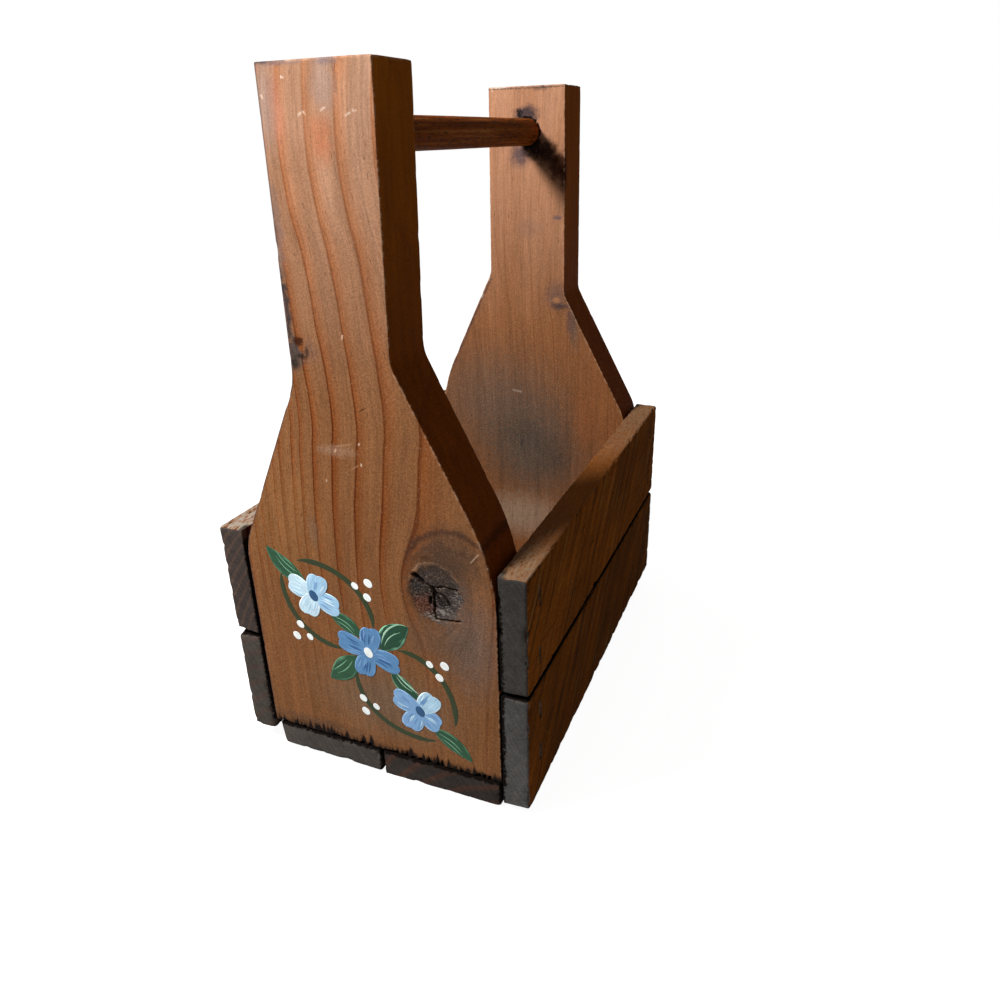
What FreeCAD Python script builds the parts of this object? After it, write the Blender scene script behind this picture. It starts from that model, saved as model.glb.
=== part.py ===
import FreeCAD
import Part
import math
import os

# A small open tote of stained softwood. Two shouldered end boards stand on two floor
# slats, four side slats close the long sides, and a dowel between the necks is the handle.
# Wire staples hold the slats. Sizes are in millimetres. X runs across the tote, Y along it
# with the painted end at -Y, and Z up. The origin is at the centre of the underside.

# Overall
tote_length = 156.6
tote_height = 207.4

# End boards. Each is seen from its outer face, with its high shoulder on the right, and a
# shift is measured to the right from the middle of the foot.
board_thickness = 19.0
board_foot_width = 84.0
board_edge_ease = 0.5

# Front end board, the painted one
front_neck_top_width = 31.4
front_neck_top_shift = 0.5
front_neck_base_width = 30.7
front_neck_base_shift = -0.85
front_high_neck_corner = 138.2
front_low_neck_corner = 131.4
front_high_shoulder_foot = 83.7
front_low_shoulder_foot = 78.0
front_high_neck_hollow = 10.0
front_low_neck_hollow = 17.0
front_high_shoulder_round = 70.0
front_low_shoulder_round = 20.0

# Rear end board, sawn to the same pattern and turned round
rear_neck_top_width = 30.3
rear_neck_top_shift = 0.35
rear_neck_base_width = 31.7
rear_neck_base_shift = 0.65
rear_high_neck_corner = 140.0
rear_low_neck_corner = 132.4
rear_high_shoulder_foot = 88.5
rear_low_shoulder_foot = 83.0
rear_high_neck_hollow = 5.0
rear_low_neck_hollow = 6.0
rear_high_shoulder_round = 70.0
rear_low_shoulder_round = 20.0

# Side slats, rough sawn, with the gap that each pair keeps from the boards' edges
right_slat_thickness = 9.1
right_slat_seat_gap = 0.1
left_slat_thickness = 9.3
left_slat_seat_gap = 0.7
right_lower_slat_lift = 2.2
right_lower_slat_front_width = 41.2
right_lower_slat_rear_width = 38.1
right_upper_slat_front_width = 38.6
right_upper_slat_rear_width = 39.2
left_lower_slat_lift = 4.9
left_lower_slat_width = 38.5
left_upper_slat_width = 37.9
slat_seam_gap = 1.2
slat_rear_rise = 0.8
slat_outer_round = 1.5
slat_inner_round = 0.8
slat_worn_round = 2.4
slat_end_ease = 0.5
slat_worn_end_ease = 1.5

# Floor slats, with the gap under the boards' feet. They share the boards' width, less the
# gaps beside and between them.
floor_slat_thickness = 9.9
floor_slat_seat_gap = 0.2
floor_slat_seam_gap = 1.0
right_floor_slat_side_gap = 0.5
left_floor_slat_side_gap = 1.8
right_floor_slat_share = 0.514
floor_slat_round = 0.9

# Handle dowel
dowel_diameter = 9.5
dowel_drop_from_top = 15.5
dowel_socket_depth = 10.5
dowel_socket_clearance = 0.05
dowel_end_gap = 0.4
dowel_end_ease = 0.6

# Staples, narrow crown
staple_crown = 6.4
staple_leg = 25.0
staple_wire_width = 1.2
staple_wire_thickness = 0.9
staple_bend = 0.6
staple_point = 1.4
staple_sink = 0.4
staple_hole_clearance = 0.05
side_staple_inset = 10.0
floor_staple_inset = 5.5
staple_edge_distance = 9.0
foot_staple_distance = 8.0

# One overrun for every cut
cut_overrun = 2.0

# Share of a corner's shorter side that its rounding may use
corner_room_share = 0.48

# Sine of the angle at which a face still counts as square to the Y axis
square_tolerance = 0.001

half_length = tote_length / 2
half_foot = board_foot_width / 2
board_foot_height = floor_slat_thickness + floor_slat_seat_gap
dowel_height = tote_height - dowel_drop_from_top
slat_inner_faces = {1: half_foot + right_slat_seat_gap, -1: half_foot + left_slat_seat_gap}
slat_outer_faces = {
    1: slat_inner_faces[1] + right_slat_thickness,
    -1: slat_inner_faces[-1] + left_slat_thickness,
}

# The pieces are laid out about the boards' middle, and then moved across so that the
# outer faces of the side slats lie alike on both sides of the origin.
boards_to_centre = (slat_outer_faces[-1] - slat_outer_faces[1]) / 2

X_AXIS = FreeCAD.Vector(1, 0, 0)
Y_AXIS = FreeCAD.Vector(0, 1, 0)
Z_AXIS = FreeCAD.Vector(0, 0, 1)
CENTRE = FreeCAD.Vector(0, 0, 0)


def rounded_wire(corners):
    """Close a wire through corners, given as (point, radius), with a tangent arc at each."""
    count = len(corners)
    entries = []
    for index in range(count):
        point, radius = corners[index]
        before = corners[index - 1][0] - point
        after = corners[(index + 1) % count][0] - point
        room = corner_room_share * min(before.Length, after.Length)
        before.normalize()
        after.normalize()
        half_angle = before.getAngle(after) / 2
        setback = min(radius / math.tan(half_angle), room)
        start = point + before * setback
        end = point + after * setback
        bisector = (before + after).normalize()
        arc_radius = setback * math.tan(half_angle)
        middle = point + bisector * (arc_radius / math.sin(half_angle) - arc_radius)
        entries.append((start, middle, end, setback > 0))
    edges = []
    for index in range(count):
        start, middle, end, is_round = entries[index]
        next_start = entries[(index + 1) % count][0]
        if is_round:
            edges.append(Part.Arc(start, middle, end).toShape())
        edges.append(Part.LineSegment(end, next_start).toShape())
    return Part.Wire(edges)


def front_board_shape():
    """The front board's neck and shoulders, by name."""
    return {
        "top": (front_neck_top_width, front_neck_top_shift),
        "base": (front_neck_base_width, front_neck_base_shift),
        "high": (front_high_neck_corner, front_high_shoulder_foot),
        "low": (front_low_neck_corner, front_low_shoulder_foot),
        "high_rounds": (front_high_neck_hollow, front_high_shoulder_round),
        "low_rounds": (front_low_neck_hollow, front_low_shoulder_round),
    }


def rear_board_shape():
    """The rear board's neck and shoulders, by name."""
    return {
        "top": (rear_neck_top_width, rear_neck_top_shift),
        "base": (rear_neck_base_width, rear_neck_base_shift),
        "high": (rear_high_neck_corner, rear_high_shoulder_foot),
        "low": (rear_low_neck_corner, rear_low_shoulder_foot),
        "high_rounds": (rear_high_neck_hollow, rear_high_shoulder_round),
        "low_rounds": (rear_low_neck_hollow, rear_low_shoulder_round),
    }


def end_board_outline(board):
    """A board's corners at the painted end, seen from its outer face."""
    top_width, top_shift = board["top"]
    base_width, base_shift = board["base"]
    high_corner, high_foot = board["high"]
    low_corner, low_foot = board["low"]
    high_hollow, high_round = board["high_rounds"]
    low_hollow, low_round = board["low_rounds"]
    places = [
        (-half_foot, board_foot_height, 0),
        (half_foot, board_foot_height, 0),
        (half_foot, high_foot, high_round),
        (base_shift + base_width / 2, high_corner, high_hollow),
        (top_shift + top_width / 2, tote_height, 0),
        (top_shift - top_width / 2, tote_height, 0),
        (base_shift - base_width / 2, low_corner, low_hollow),
        (-half_foot, low_foot, low_round),
    ]
    return [(FreeCAD.Vector(x, -half_length, z), radius) for x, z, radius in places]


def broken_arrises(board):
    """Ease the arrises round a board's inner and outer faces."""
    edges = []
    for face in board.Faces:
        if face.normalAt(0, 0).cross(Y_AXIS).Length < square_tolerance:
            edges.extend(face.Edges)
    return board.makeChamfer(board_edge_ease, edges)


def end_board(board):
    """An end board at the painted end, before it is bored or turned."""
    wire = rounded_wire(end_board_outline(board))
    blank = Part.Face(wire).extrude(Y_AXIS * board_thickness)
    return broken_arrises(blank)


def turned(solid):
    """The solid turned half round, to the other end of the tote."""
    copy = solid.copy()
    copy.rotate(CENTRE, Z_AXIS, math.degrees(math.pi))
    return copy


def dowel_sockets():
    """Two blind bores that face each other, one in each neck."""
    inner_face = half_length - board_thickness
    radius = dowel_diameter / 2 + dowel_socket_clearance
    depth = dowel_socket_depth + cut_overrun
    sockets = []
    for end in (-1, 1):
        mouth = FreeCAD.Vector(0, end * (inner_face - cut_overrun), dowel_height)
        sockets.append(Part.makeCylinder(radius, depth, mouth, Y_AXIS * end))
    return sockets


def handle_dowel():
    """The handle, with both ends eased, glued into the sockets."""
    reach = half_length - board_thickness + dowel_socket_depth - dowel_end_gap
    start = FreeCAD.Vector(0, -reach, dowel_height)
    dowel = Part.makeCylinder(dowel_diameter / 2, 2 * reach, start, Y_AXIS)
    rims = [edge for edge in dowel.Edges if edge.Closed and edge.Length > dowel_diameter]
    return dowel.makeChamfer(dowel_end_ease, rims)


def slat_section(y, box, radii, ease):
    """A slat's outline across its length, drawn in by ease on all four sides."""
    low_x, high_x, low_z, high_z = box
    places = [
        (low_x + ease, low_z + ease, radii[0]),
        (high_x - ease, low_z + ease, radii[1]),
        (high_x - ease, high_z - ease, radii[2]),
        (low_x + ease, high_z - ease, radii[3]),
    ]
    return rounded_wire([(FreeCAD.Vector(x, y, z), radius) for x, z, radius in places])


def slat(front_box, rear_box, radii, rear_ease):
    """A slat from end to end, with eased end arrises and rounded long edges.

    The boxes are (low x, high x, low z, high z), and radii go round from the low corner.
    """
    def box_at(y):
        share = (y + half_length) / tote_length
        return [a + (b - a) * share for a, b in zip(front_box, rear_box)]

    stations = [
        (-half_length, slat_end_ease),
        (-half_length + slat_end_ease, 0),
        (half_length - rear_ease, 0),
        (half_length, rear_ease),
    ]
    wires = [slat_section(y, box_at(y), radii, ease) for y, ease in stations]
    return Part.makeLoft(wires, True, True)


def side_slat(side, low_ends, high_ends, foot_round, rear_ease):
    """A side slat on the +X or -X side. The ends give its front and rear heights."""
    boxes = []
    for low, high in zip(low_ends, high_ends):
        across = sorted((side * slat_inner_faces[side], side * slat_outer_faces[side]))
        boxes.append((across[0], across[1], low, high))
    inner, outer = slat_inner_round, slat_outer_round
    radii = (foot_round, outer, outer, inner) if side > 0 else (outer, foot_round, inner, outer)
    return slat(boxes[0], boxes[1], radii, rear_ease)


def floor_slat(low_x, high_x, left_foot_round):
    """A floor slat. Its lower left edge has a rounding of its own."""
    box = (low_x, high_x, 0, floor_slat_thickness)
    radii = (left_foot_round, floor_slat_round, floor_slat_round, floor_slat_round)
    return slat(box, box, radii, slat_end_ease)


def staple_outline(grow, top, bend):
    """A staple seen along its wire's width, as (across, deep, radius), enlarged by grow."""
    outer = staple_crown / 2 + grow
    inner = staple_crown / 2 - staple_wire_thickness - grow
    under_crown = staple_wire_thickness + grow
    tip = staple_leg + grow
    return [
        (-outer, top, bend),
        (outer, top, bend),
        (outer, tip, 0),
        (inner, tip - staple_point, 0),
        (inner, under_crown, 0),
        (-inner, under_crown, 0),
        (-inner, tip - staple_point, 0),
        (-outer, tip, 0),
    ]


def stood_up(outline, width, place):
    """Stand a staple's outline up at place, (crown centre, crown direction, drive direction)."""
    centre, across, inward = place
    near_side = centre - Y_AXIS * (width / 2)
    corners = [(near_side + across * u + inward * v, radius) for u, v, radius in outline]
    return Part.Face(rounded_wire(corners)).extrude(Y_AXIS * width)


def staple(place):
    """One driven staple, its crown just under the slat's face."""
    return stood_up(staple_outline(0, 0, staple_bend), staple_wire_width, place)


def staple_hole(place):
    """The two leg holes and the crown's slot, open to the slat's face."""
    grow = staple_hole_clearance
    mouth = -staple_sink - cut_overrun
    return stood_up(staple_outline(grow, mouth, 0), staple_wire_width + 2 * grow, place)


def side_staple_places(side, end, low, high):
    """Two staples through one end of a side slat, at the given heights."""
    y = end * (half_length - side_staple_inset)
    face = side * (slat_outer_faces[side] - staple_sink)
    return [(FreeCAD.Vector(face, y, z), Z_AXIS, X_AXIS * -side) for z in (low, high)]


def floor_staple_places(end, low_x, high_x):
    """Two staples up through one end of a floor slat."""
    y = end * (half_length - floor_staple_inset)
    rows = (low_x + staple_edge_distance, high_x - staple_edge_distance)
    return [(FreeCAD.Vector(x, y, staple_sink), X_AXIS, Z_AXIS) for x in rows]


def side_slat_heights():
    """Name, side, and front and rear heights of the edges of each side slat."""
    right_split = right_lower_slat_lift + right_lower_slat_front_width
    right_rear_split = right_split + slat_rear_rise
    right_seam = right_split + slat_seam_gap
    right_rear_seam = right_rear_split + slat_seam_gap
    left_split = left_lower_slat_lift + left_lower_slat_width
    left_seam = left_split + slat_seam_gap
    return {
        "right_lower_slat": (
            1,
            (right_lower_slat_lift, right_rear_split - right_lower_slat_rear_width),
            (right_split, right_rear_split),
        ),
        "right_upper_slat": (
            1,
            (right_seam, right_rear_seam),
            (right_seam + right_upper_slat_front_width,
             right_rear_seam + right_upper_slat_rear_width),
        ),
        "left_lower_slat": (
            -1,
            (left_lower_slat_lift, left_lower_slat_lift),
            (left_split, left_split),
        ),
        "left_upper_slat": (
            -1,
            (left_seam, left_seam),
            (left_seam + left_upper_slat_width, left_seam + left_upper_slat_width),
        ),
    }


def floor_slat_spans():
    """Name, low x, high x and lower left rounding of each floor slat."""
    left_start = left_floor_slat_side_gap - half_foot
    right_edge = half_foot - right_floor_slat_side_gap
    timber_width = right_edge - left_start - floor_slat_seam_gap
    right_start = right_edge - timber_width * right_floor_slat_share
    left_end = right_start - floor_slat_seam_gap
    return {
        "right_floor_slat": (right_start, right_edge, floor_slat_round),
        "left_floor_slat": (left_start, left_end, slat_worn_round),
    }


def cut_by(solid, tools):
    """The solid less the tools that reach it."""
    near = [tool for tool in tools if tool.BoundBox.intersect(solid.BoundBox)]
    return solid.cut(near) if near else solid


def build():
    """Every piece by name."""
    slats = {}
    places = {}
    for name, (side, lows, highs) in side_slat_heights().items():
        rear_ease = slat_worn_end_ease if side > 0 else slat_end_ease
        foot_round = slat_worn_round if name == "left_lower_slat" else slat_inner_round
        slats[name] = side_slat(side, lows, highs, foot_round, rear_ease)
        for end, label, low, high in zip((-1, 1), ("front", "rear"), lows, highs):
            lowest = max(low + staple_edge_distance, board_foot_height + foot_staple_distance)
            pair = side_staple_places(side, end, lowest, high - staple_edge_distance)
            places[name, label] = pair
    for name, (low_x, high_x, left_foot_round) in floor_slat_spans().items():
        slats[name] = floor_slat(low_x, high_x, left_foot_round)
        for end, label in ((-1, "front"), (1, "rear")):
            places[name, label] = floor_staple_places(end, low_x, high_x)

    holes = [staple_hole(place) for pair in places.values() for place in pair]
    bores = holes + dowel_sockets()
    front = end_board(front_board_shape())
    rear = turned(end_board(rear_board_shape()))
    pieces = {
        "front_end_board": cut_by(front, bores),
        "rear_end_board": cut_by(rear, bores),
        "handle_dowel": handle_dowel(),
    }
    for name, solid in slats.items():
        pieces[name] = cut_by(solid, holes)
    for (name, label), pair in places.items():
        group = Part.makeCompound([staple(place) for place in pair])
        pieces[name + "_" + label + "_staples"] = group
    return pieces


os.makedirs("parts", exist_ok=True)
for piece_name, shape in build().items():
    shape.translate(X_AXIS * boards_to_centre)
    shape.exportStep(os.path.join("parts", piece_name + ".step"))
    print(piece_name, len(shape.Solids), shape.isValid(), round(shape.Volume))
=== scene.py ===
"""Looks of a small slatted tote of stained softwood with a dowel handle.

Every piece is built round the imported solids: the two end boards and six slats are skins of
weathered timber, the handle is a turned rod, the staples keep their solids, and the painted
spray on the front board is laid on as thin brush strokes. Sizes are in metres, with +Z up
and the painted board at -Y.
"""
import bpy
import math
import numpy as np
from mathutils import Matrix, Vector
from mathutils.bvhtree import BVHTree


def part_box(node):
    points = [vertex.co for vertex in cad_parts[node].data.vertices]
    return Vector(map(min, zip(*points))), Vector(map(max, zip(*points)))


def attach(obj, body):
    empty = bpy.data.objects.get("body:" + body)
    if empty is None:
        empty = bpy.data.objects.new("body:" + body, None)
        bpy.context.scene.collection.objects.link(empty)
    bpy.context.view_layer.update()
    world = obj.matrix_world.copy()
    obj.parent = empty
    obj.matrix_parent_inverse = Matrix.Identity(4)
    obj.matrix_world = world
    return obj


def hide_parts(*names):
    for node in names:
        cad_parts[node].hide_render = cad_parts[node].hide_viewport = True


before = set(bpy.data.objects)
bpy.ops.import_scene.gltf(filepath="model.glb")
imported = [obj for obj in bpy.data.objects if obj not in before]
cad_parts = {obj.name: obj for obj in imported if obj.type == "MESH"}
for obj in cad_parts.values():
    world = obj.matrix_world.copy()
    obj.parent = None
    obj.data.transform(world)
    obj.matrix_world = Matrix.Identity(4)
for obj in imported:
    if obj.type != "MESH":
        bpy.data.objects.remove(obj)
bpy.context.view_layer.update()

bl_info = {
    "name": "Slatted wooden tote",
    "version": (1, 0, 0),
    "blender": (4, 5, 0),
    "location": "View3D > Sidebar > Tote",
    "description": "Dresses a slatted tote with weathered timber, a dowel and painted flowers",
    "category": "Add Mesh",
}

MM = 0.001
BODY = "root"
# Where the lamp hangs and what it lights, and the camera's place and its turns in degrees, all
# as fitted to the photo
KEY_PLACE = Vector((-0.205, -0.255, 0.445))
KEY_AIM = Vector((0, -0.02, 0.11))
CAMERA_PLACE = Vector((117.02, -248.68, 190.07)) * MM
CAMERA_TURNS = ((23.141, "Z"), (90 - 24.422, "X"), (-1.491, "Z"))
SIDE_SLATS = ("right_upper_slat", "right_lower_slat", "left_upper_slat", "left_lower_slat")
FLOOR_SLATS = ("right_floor_slat", "left_floor_slat")

# Kinds of node: the type, the sockets that values fill in turn, and the settings
TIMES, TIMES_PLUS, PLUS, MINUS, OVER, POWER, ABSOLUTE, FRACTION, SINE, MAXIMUM = (
    ("ShaderNodeMath", (0, 1, 2), {"operation": operation}) for operation in (
        "MULTIPLY", "MULTIPLY_ADD", "ADD", "SUBTRACT", "DIVIDE", "POWER", "ABSOLUTE", "FRACT",
        "SINE", "MAXIMUM"))
STRETCH, SUM, AWAY, LENGTH, DOT, DISTANCE, CROSS = (
    ("ShaderNodeVectorMath", (0, 1), {"operation": operation}) for operation in (
        "MULTIPLY", "ADD", "SUBTRACT", "LENGTH", "DOT_PRODUCT", "DISTANCE", "CROSS_PRODUCT"))
SCALE = ("ShaderNodeVectorMath", (0, "Scale"), {"operation": "SCALE"})
MIX, TINT = (("ShaderNodeMix", ("Factor", "A", "B"), {"data_type": "RGBA", "blend_type": blend})
             for blend in ("MIX", "MULTIPLY"))
BLEND = ("ShaderNodeMix", ("Factor", "A", "B"), {"data_type": "FLOAT"})
RANGE, SMOOTH_RANGE = (
    ("ShaderNodeMapRange", ("Value", "From Min", "From Max", "To Min", "To Max"),
     {"interpolation_type": way}) for way in ("LINEAR", "SMOOTHSTEP"))
NOISE = ("ShaderNodeTexNoise", ("Vector", "Scale", "Detail", "Roughness"), {})
NOISE_4D = ("ShaderNodeTexNoise", ("Vector", "W", "Scale", "Detail"), {"noise_dimensions": "4D"})
RAMP = ("ShaderNodeValToRGB", (0,), {})
CURVE = ("ShaderNodeFloatCurve", ("Value",), {})
BUMP = ("ShaderNodeBump", ("Strength", "Distance", "Height"), {})
COMBINE = ("ShaderNodeCombineXYZ", (0, 1, 2), {})
SEPARATE = ("ShaderNodeSeparateXYZ", (0,), {})
ATTRIBUTE = "ShaderNodeAttribute"
NAMED = "GeometryNodeInputNamedAttribute"
STORE = "GeometryNodeStoreNamedAttribute"


def linear(hex_colour):
    """An sRGB hex colour as linear red, green and blue."""
    parts = [int(hex_colour[i:i + 2], 16) / 255 for i in (1, 3, 5)]
    return [c / 12.92 if c <= 0.04045 else ((c + 0.055) / 1.055) ** 2.4 for c in parts]


def in_mm(name, description, size):
    """A setting for a length, given here in millimetres."""
    return bpy.props.FloatProperty(name=name, description=description, default=size * MM,
                                   unit="LENGTH")


def in_hex(name, description, hex_colour):
    """A setting for a colour."""
    return bpy.props.FloatVectorProperty(name=name, description=description, subtype="COLOR",
                                         size=3, default=linear(hex_colour))


class ToteTimberSettings(bpy.types.PropertyGroup):
    """How closely the timber is modelled and how hard it has been used."""
    grid_step: in_mm("Board grid step", "Widest spacing of the end boards' surface grid", 0.85)
    slat_step: in_mm("Slat grid step", "Widest spacing of the slats' surface grid", 0.6)
    arris_radius: in_mm("Board arris radius", "Rounding of the end boards' handled edges", 0.4)
    fibre_depth: in_mm("Fibre depth", "Depth of the torn fibres on the rough slats", 0.16)
    saw_depth: in_mm("Saw mark depth", "Depth of the saw marks on the rough slats", 0.05)
    saw_pitch: in_mm("Saw mark pitch", "Distance between saw marks", 3.1)
    chip_depth: in_mm("Chip depth", "Deepest chip in a slat's long edges", 0.9)
    seed: bpy.props.IntProperty(
        name="Seed", description="Choice of wear, the same on every run", default=7)


class ToteFinishSettings(bpy.types.PropertyGroup):
    """Colours of the stains, the knots and the steel."""
    stain: in_hex("Stain", "Earlywood of the stained end boards", "#7E5434")
    latewood: in_hex("Latewood", "Orange band after each growth line", "#78401C")
    growth_line: in_hex("Growth line", "Shade of the thin edge of each growth ring", "#A98A78")
    knot: in_hex("Knot", "Dead knot wood", "#2D2726")
    slat: in_hex("Slat stain", "Long faces of the rough slats", "#7C430F")
    dowel: in_hex("Dowel", "Stained hardwood of the handle", "#7C3C0C")
    steel: in_hex("Staple steel", "Tarnished wire", "#30251D")


class ToteSpraySettings(bpy.types.PropertyGroup):
    """The painted spray: three flowers on one slanting line, with leaves, vines and dots."""
    centre_x: in_mm("Centre across", "Middle flower, from the middle of the tote", -1)
    centre_z: in_mm("Centre height", "Middle flower, above the ground", 47.6)
    slant: bpy.props.FloatProperty(
        name="Slant", description="Direction of the line of flowers, down to the right",
        default=math.radians(-45), subtype="ANGLE")
    pitch: in_mm("Flower pitch", "Distance between flowers", 24.2)
    petal: in_mm("Petal length", "Longest petal of the middle flower", 11.4)
    vine: in_mm("Vine width", "Width of the vines at their thickest", 1.9)
    dot: in_mm("Dot diameter", "White dots beside the vines", 2.9)
    seed: bpy.props.IntProperty(
        name="Seed", description="Choice of the marks on the petals", default=4)
    paint: in_mm("Paint thickness", "Thickness of one brush stroke", 0.03)


class ToteStageSettings(bpy.types.PropertyGroup):
    """Floor, lights and camera."""
    lens: bpy.props.FloatProperty(
        name="Lens", description="Focal length in millimetres on a 36 mm sensor", default=28.678)
    key_power: bpy.props.FloatProperty(
        name="Key light", description="Power of the near lamp at the upper left", default=3.7,
        unit="POWER")
    fill: bpy.props.FloatProperty(
        name="Fill", description="Strength of the even light from all round", default=0.2)


def pick(sockets, key):
    """The socket with this index or name, leaving out the ones that are switched off."""
    if isinstance(key, int):
        return sockets[key]
    return next(s for s in sockets if s.enabled and s.name == key)


def fill(tree, node, inputs):
    """Fill a node's inputs, by index or name. Each gets a node or socket to link from, or a value
    to set, and a colour may be sRGB hex."""
    for key, value in inputs.items():
        socket = pick(node.inputs, key)
        if isinstance(value, bpy.types.Node):
            value = next(s for s in value.outputs if s.enabled)
        if isinstance(value, bpy.types.NodeSocket):
            tree.links.new(value, socket)
        elif socket.type == "RGBA":
            value = linear(value) if isinstance(value, str) else value
            socket.default_value = (*value[:3], 1)
        else:
            socket.default_value = value


def add(tree, kind, *values, stops=(), points=(), **settings):
    """Add a node, of a kind listed above or of a plain type. Values fill the kind's sockets in
    turn, or a dict names the sockets. settings are the node's own.

    stops are the places and colours of a colour ramp, and points are those of a float curve.
    """
    node_type, order, fixed = kind if isinstance(kind, tuple) else (kind, (), {})
    node = tree.nodes.new(node_type)
    for name, value in {**fixed, **settings}.items():
        setattr(node, name, value)
    named = values and isinstance(values[0], dict)
    fill(tree, node, values[0] if named else dict(zip(order, values)))
    if stops:
        elements = node.color_ramp.elements
        while len(elements) < len(stops):
            elements.new(1)
        for element, (place, colour) in zip(elements, stops):
            element.position = place
            colour = linear(colour) if isinstance(colour, str) else colour
            element.color = (*colour, 1)
    if points:
        curve = node.mapping.curves[0]
        while len(curve.points) < len(points):
            curve.points.new(0.5, 0.5)
        for point, place in zip(curve.points, points):
            point.location = place
        node.mapping.update()
    return node


def new_material(name):
    """An empty node material and its shader, already joined to the output."""
    material = bpy.data.materials.new(name)
    material.use_nodes = True
    tree = material.node_tree
    shader = tree.nodes["Principled BSDF"]
    return material, tree, shader


def rising_lines(low, high, step, fine=(), marks=()):
    """Rising coordinates from low to high, closer at both ends and in the fine spans.

    A fine span is (from, to, step), and marks are coordinates that must be hit exactly.
    """
    arris_step, growth, clearance = 0.14 * MM, 0.28, 0.06 * MM
    places = [low]
    while places[-1] < high:
        here = places[-1]
        gap = min(step, arris_step + growth * min(here - low, high - here))
        for start, end, span_step in fine:
            if start <= here <= end:
                gap = min(gap, span_step)
        places.append(here + gap)
    lines = low + (np.array(places) - low) * (high - low) / (places[-1] - low)
    if len(marks):
        clear = np.min(np.abs(lines[:, None] - np.array(marks)[None, :]), 1) > clearance
        clear[[0, -1]] = True
        lines = np.sort(np.concatenate([lines[clear], marks]))
    return lines


def box_skin(lines):
    """A closed skin of quads on a box ruled by three sets of lines, in X, Y and Z.

    Returns the grid place of each point and the quads, which face outwards.
    """
    sizes = [len(row) for row in lines]
    skin = np.ones(sizes, bool)
    skin[1:-1, 1:-1, 1:-1] = False
    index = np.full(sizes, -1)
    index[skin] = np.arange(skin.sum())
    places = np.stack(np.meshgrid(*lines, indexing="ij"), -1)[skin]
    quads = []
    for axis in range(3):
        for end in (0, -1):
            sheet = np.take(index, end, axis)
            loop = [sheet[:-1, :-1], sheet[1:, :-1], sheet[1:, 1:], sheet[:-1, 1:]]
            if (end == -1) == (axis == 1):
                loop.reverse()
            quads.append(np.stack(loop, -1).reshape(-1, 4))
    return places, np.concatenate(quads)


def rounded_shift(places, lows, highs, radius):
    """How far each point of a box moves to round the box's edges by its own radius."""
    radius = np.broadcast_to(np.asarray(radius), places.shape[:1])[:, None]
    reach = np.maximum(0, radius - (highs - places)) - np.maximum(0, radius - (places - lows))
    length = np.maximum(np.linalg.norm(reach, axis=1, keepdims=True), 1e-9)
    return reach * (np.minimum(1, radius / length) - 1)


def arris_nearness(places, lows, highs, width):
    """1 on a box's edges, fading to 0 at width from them."""
    gaps = np.sort(np.minimum(places - lows, highs - places), axis=1)
    return np.clip(1 - gaps[:, 1] / width, 0, 1)


def new_object(name, data):
    """An object in the scene, at the origin."""
    placed = bpy.data.objects.new(name, data)
    bpy.context.scene.collection.objects.link(placed)
    return placed


def new_piece(name, points, faces, attributes):
    """A mesh object with point attributes. Its place is in its mesh."""
    mesh = bpy.data.meshes.new(name)
    mesh.vertices.add(len(points))
    mesh.vertices.foreach_set("co", np.asarray(points, np.float32).ravel())
    mesh.loops.add(faces.size)
    mesh.loops.foreach_set("vertex_index", faces.astype(np.int32).ravel())
    mesh.polygons.add(len(faces))
    starts = np.arange(0, faces.size, faces.shape[1], dtype=np.int32)
    mesh.polygons.foreach_set("loop_start", starts)
    mesh.update(calc_edges=True)
    for key, values in attributes.items():
        mesh.attributes.new(key, "FLOAT", "POINT").data.foreach_set("value", values)
    return new_object(name, mesh)


def run_nodes(piece, group, values):
    """Run a node group on a piece and keep its result as a plain mesh."""
    modifier = piece.modifiers.new(group.name, "NODES")
    modifier.node_group = group
    for item in group.interface.items_tree:
        if item.in_out == "INPUT" and item.name in values:
            modifier[item.identifier] = values[item.name]
    graph = bpy.context.evaluated_depsgraph_get()
    result = bpy.data.meshes.new_from_object(
        piece.evaluated_get(graph), preserve_all_data_layers=True, depsgraph=graph)
    piece.modifiers.remove(modifier)
    plain = piece.data
    piece.data = result
    bpy.data.meshes.remove(plain)
    result.name = piece.name


def new_group(name, inputs):
    """A geometry node group with a geometry in and out and the named inputs."""
    group = bpy.data.node_groups.new(name, "GeometryNodeTree")
    group.interface.new_socket("Geometry", in_out="INPUT", socket_type="NodeSocketGeometry")
    group.interface.new_socket("Geometry", in_out="OUTPUT", socket_type="NodeSocketGeometry")
    for key, kind in inputs.items():
        group.interface.new_socket(key, in_out="INPUT", socket_type="NodeSocket" + kind)
    return group, group.nodes.new("NodeGroupInput"), group.nodes.new("NodeGroupOutput")


def end_group(tree, given, result, shape):
    """End a group: shade its shape smooth, make it real and give it its material."""
    shape = add(tree, "GeometryNodeSetShadeSmooth", {"Geometry": shape})
    shape = add(tree, "GeometryNodeRealizeInstances", {"Geometry": shape})
    shape = add(tree, "GeometryNodeSetMaterial",
                {"Geometry": shape, "Material": given.outputs["Finish"]})
    fill(tree, result, {0: shape})
    return tree


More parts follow.
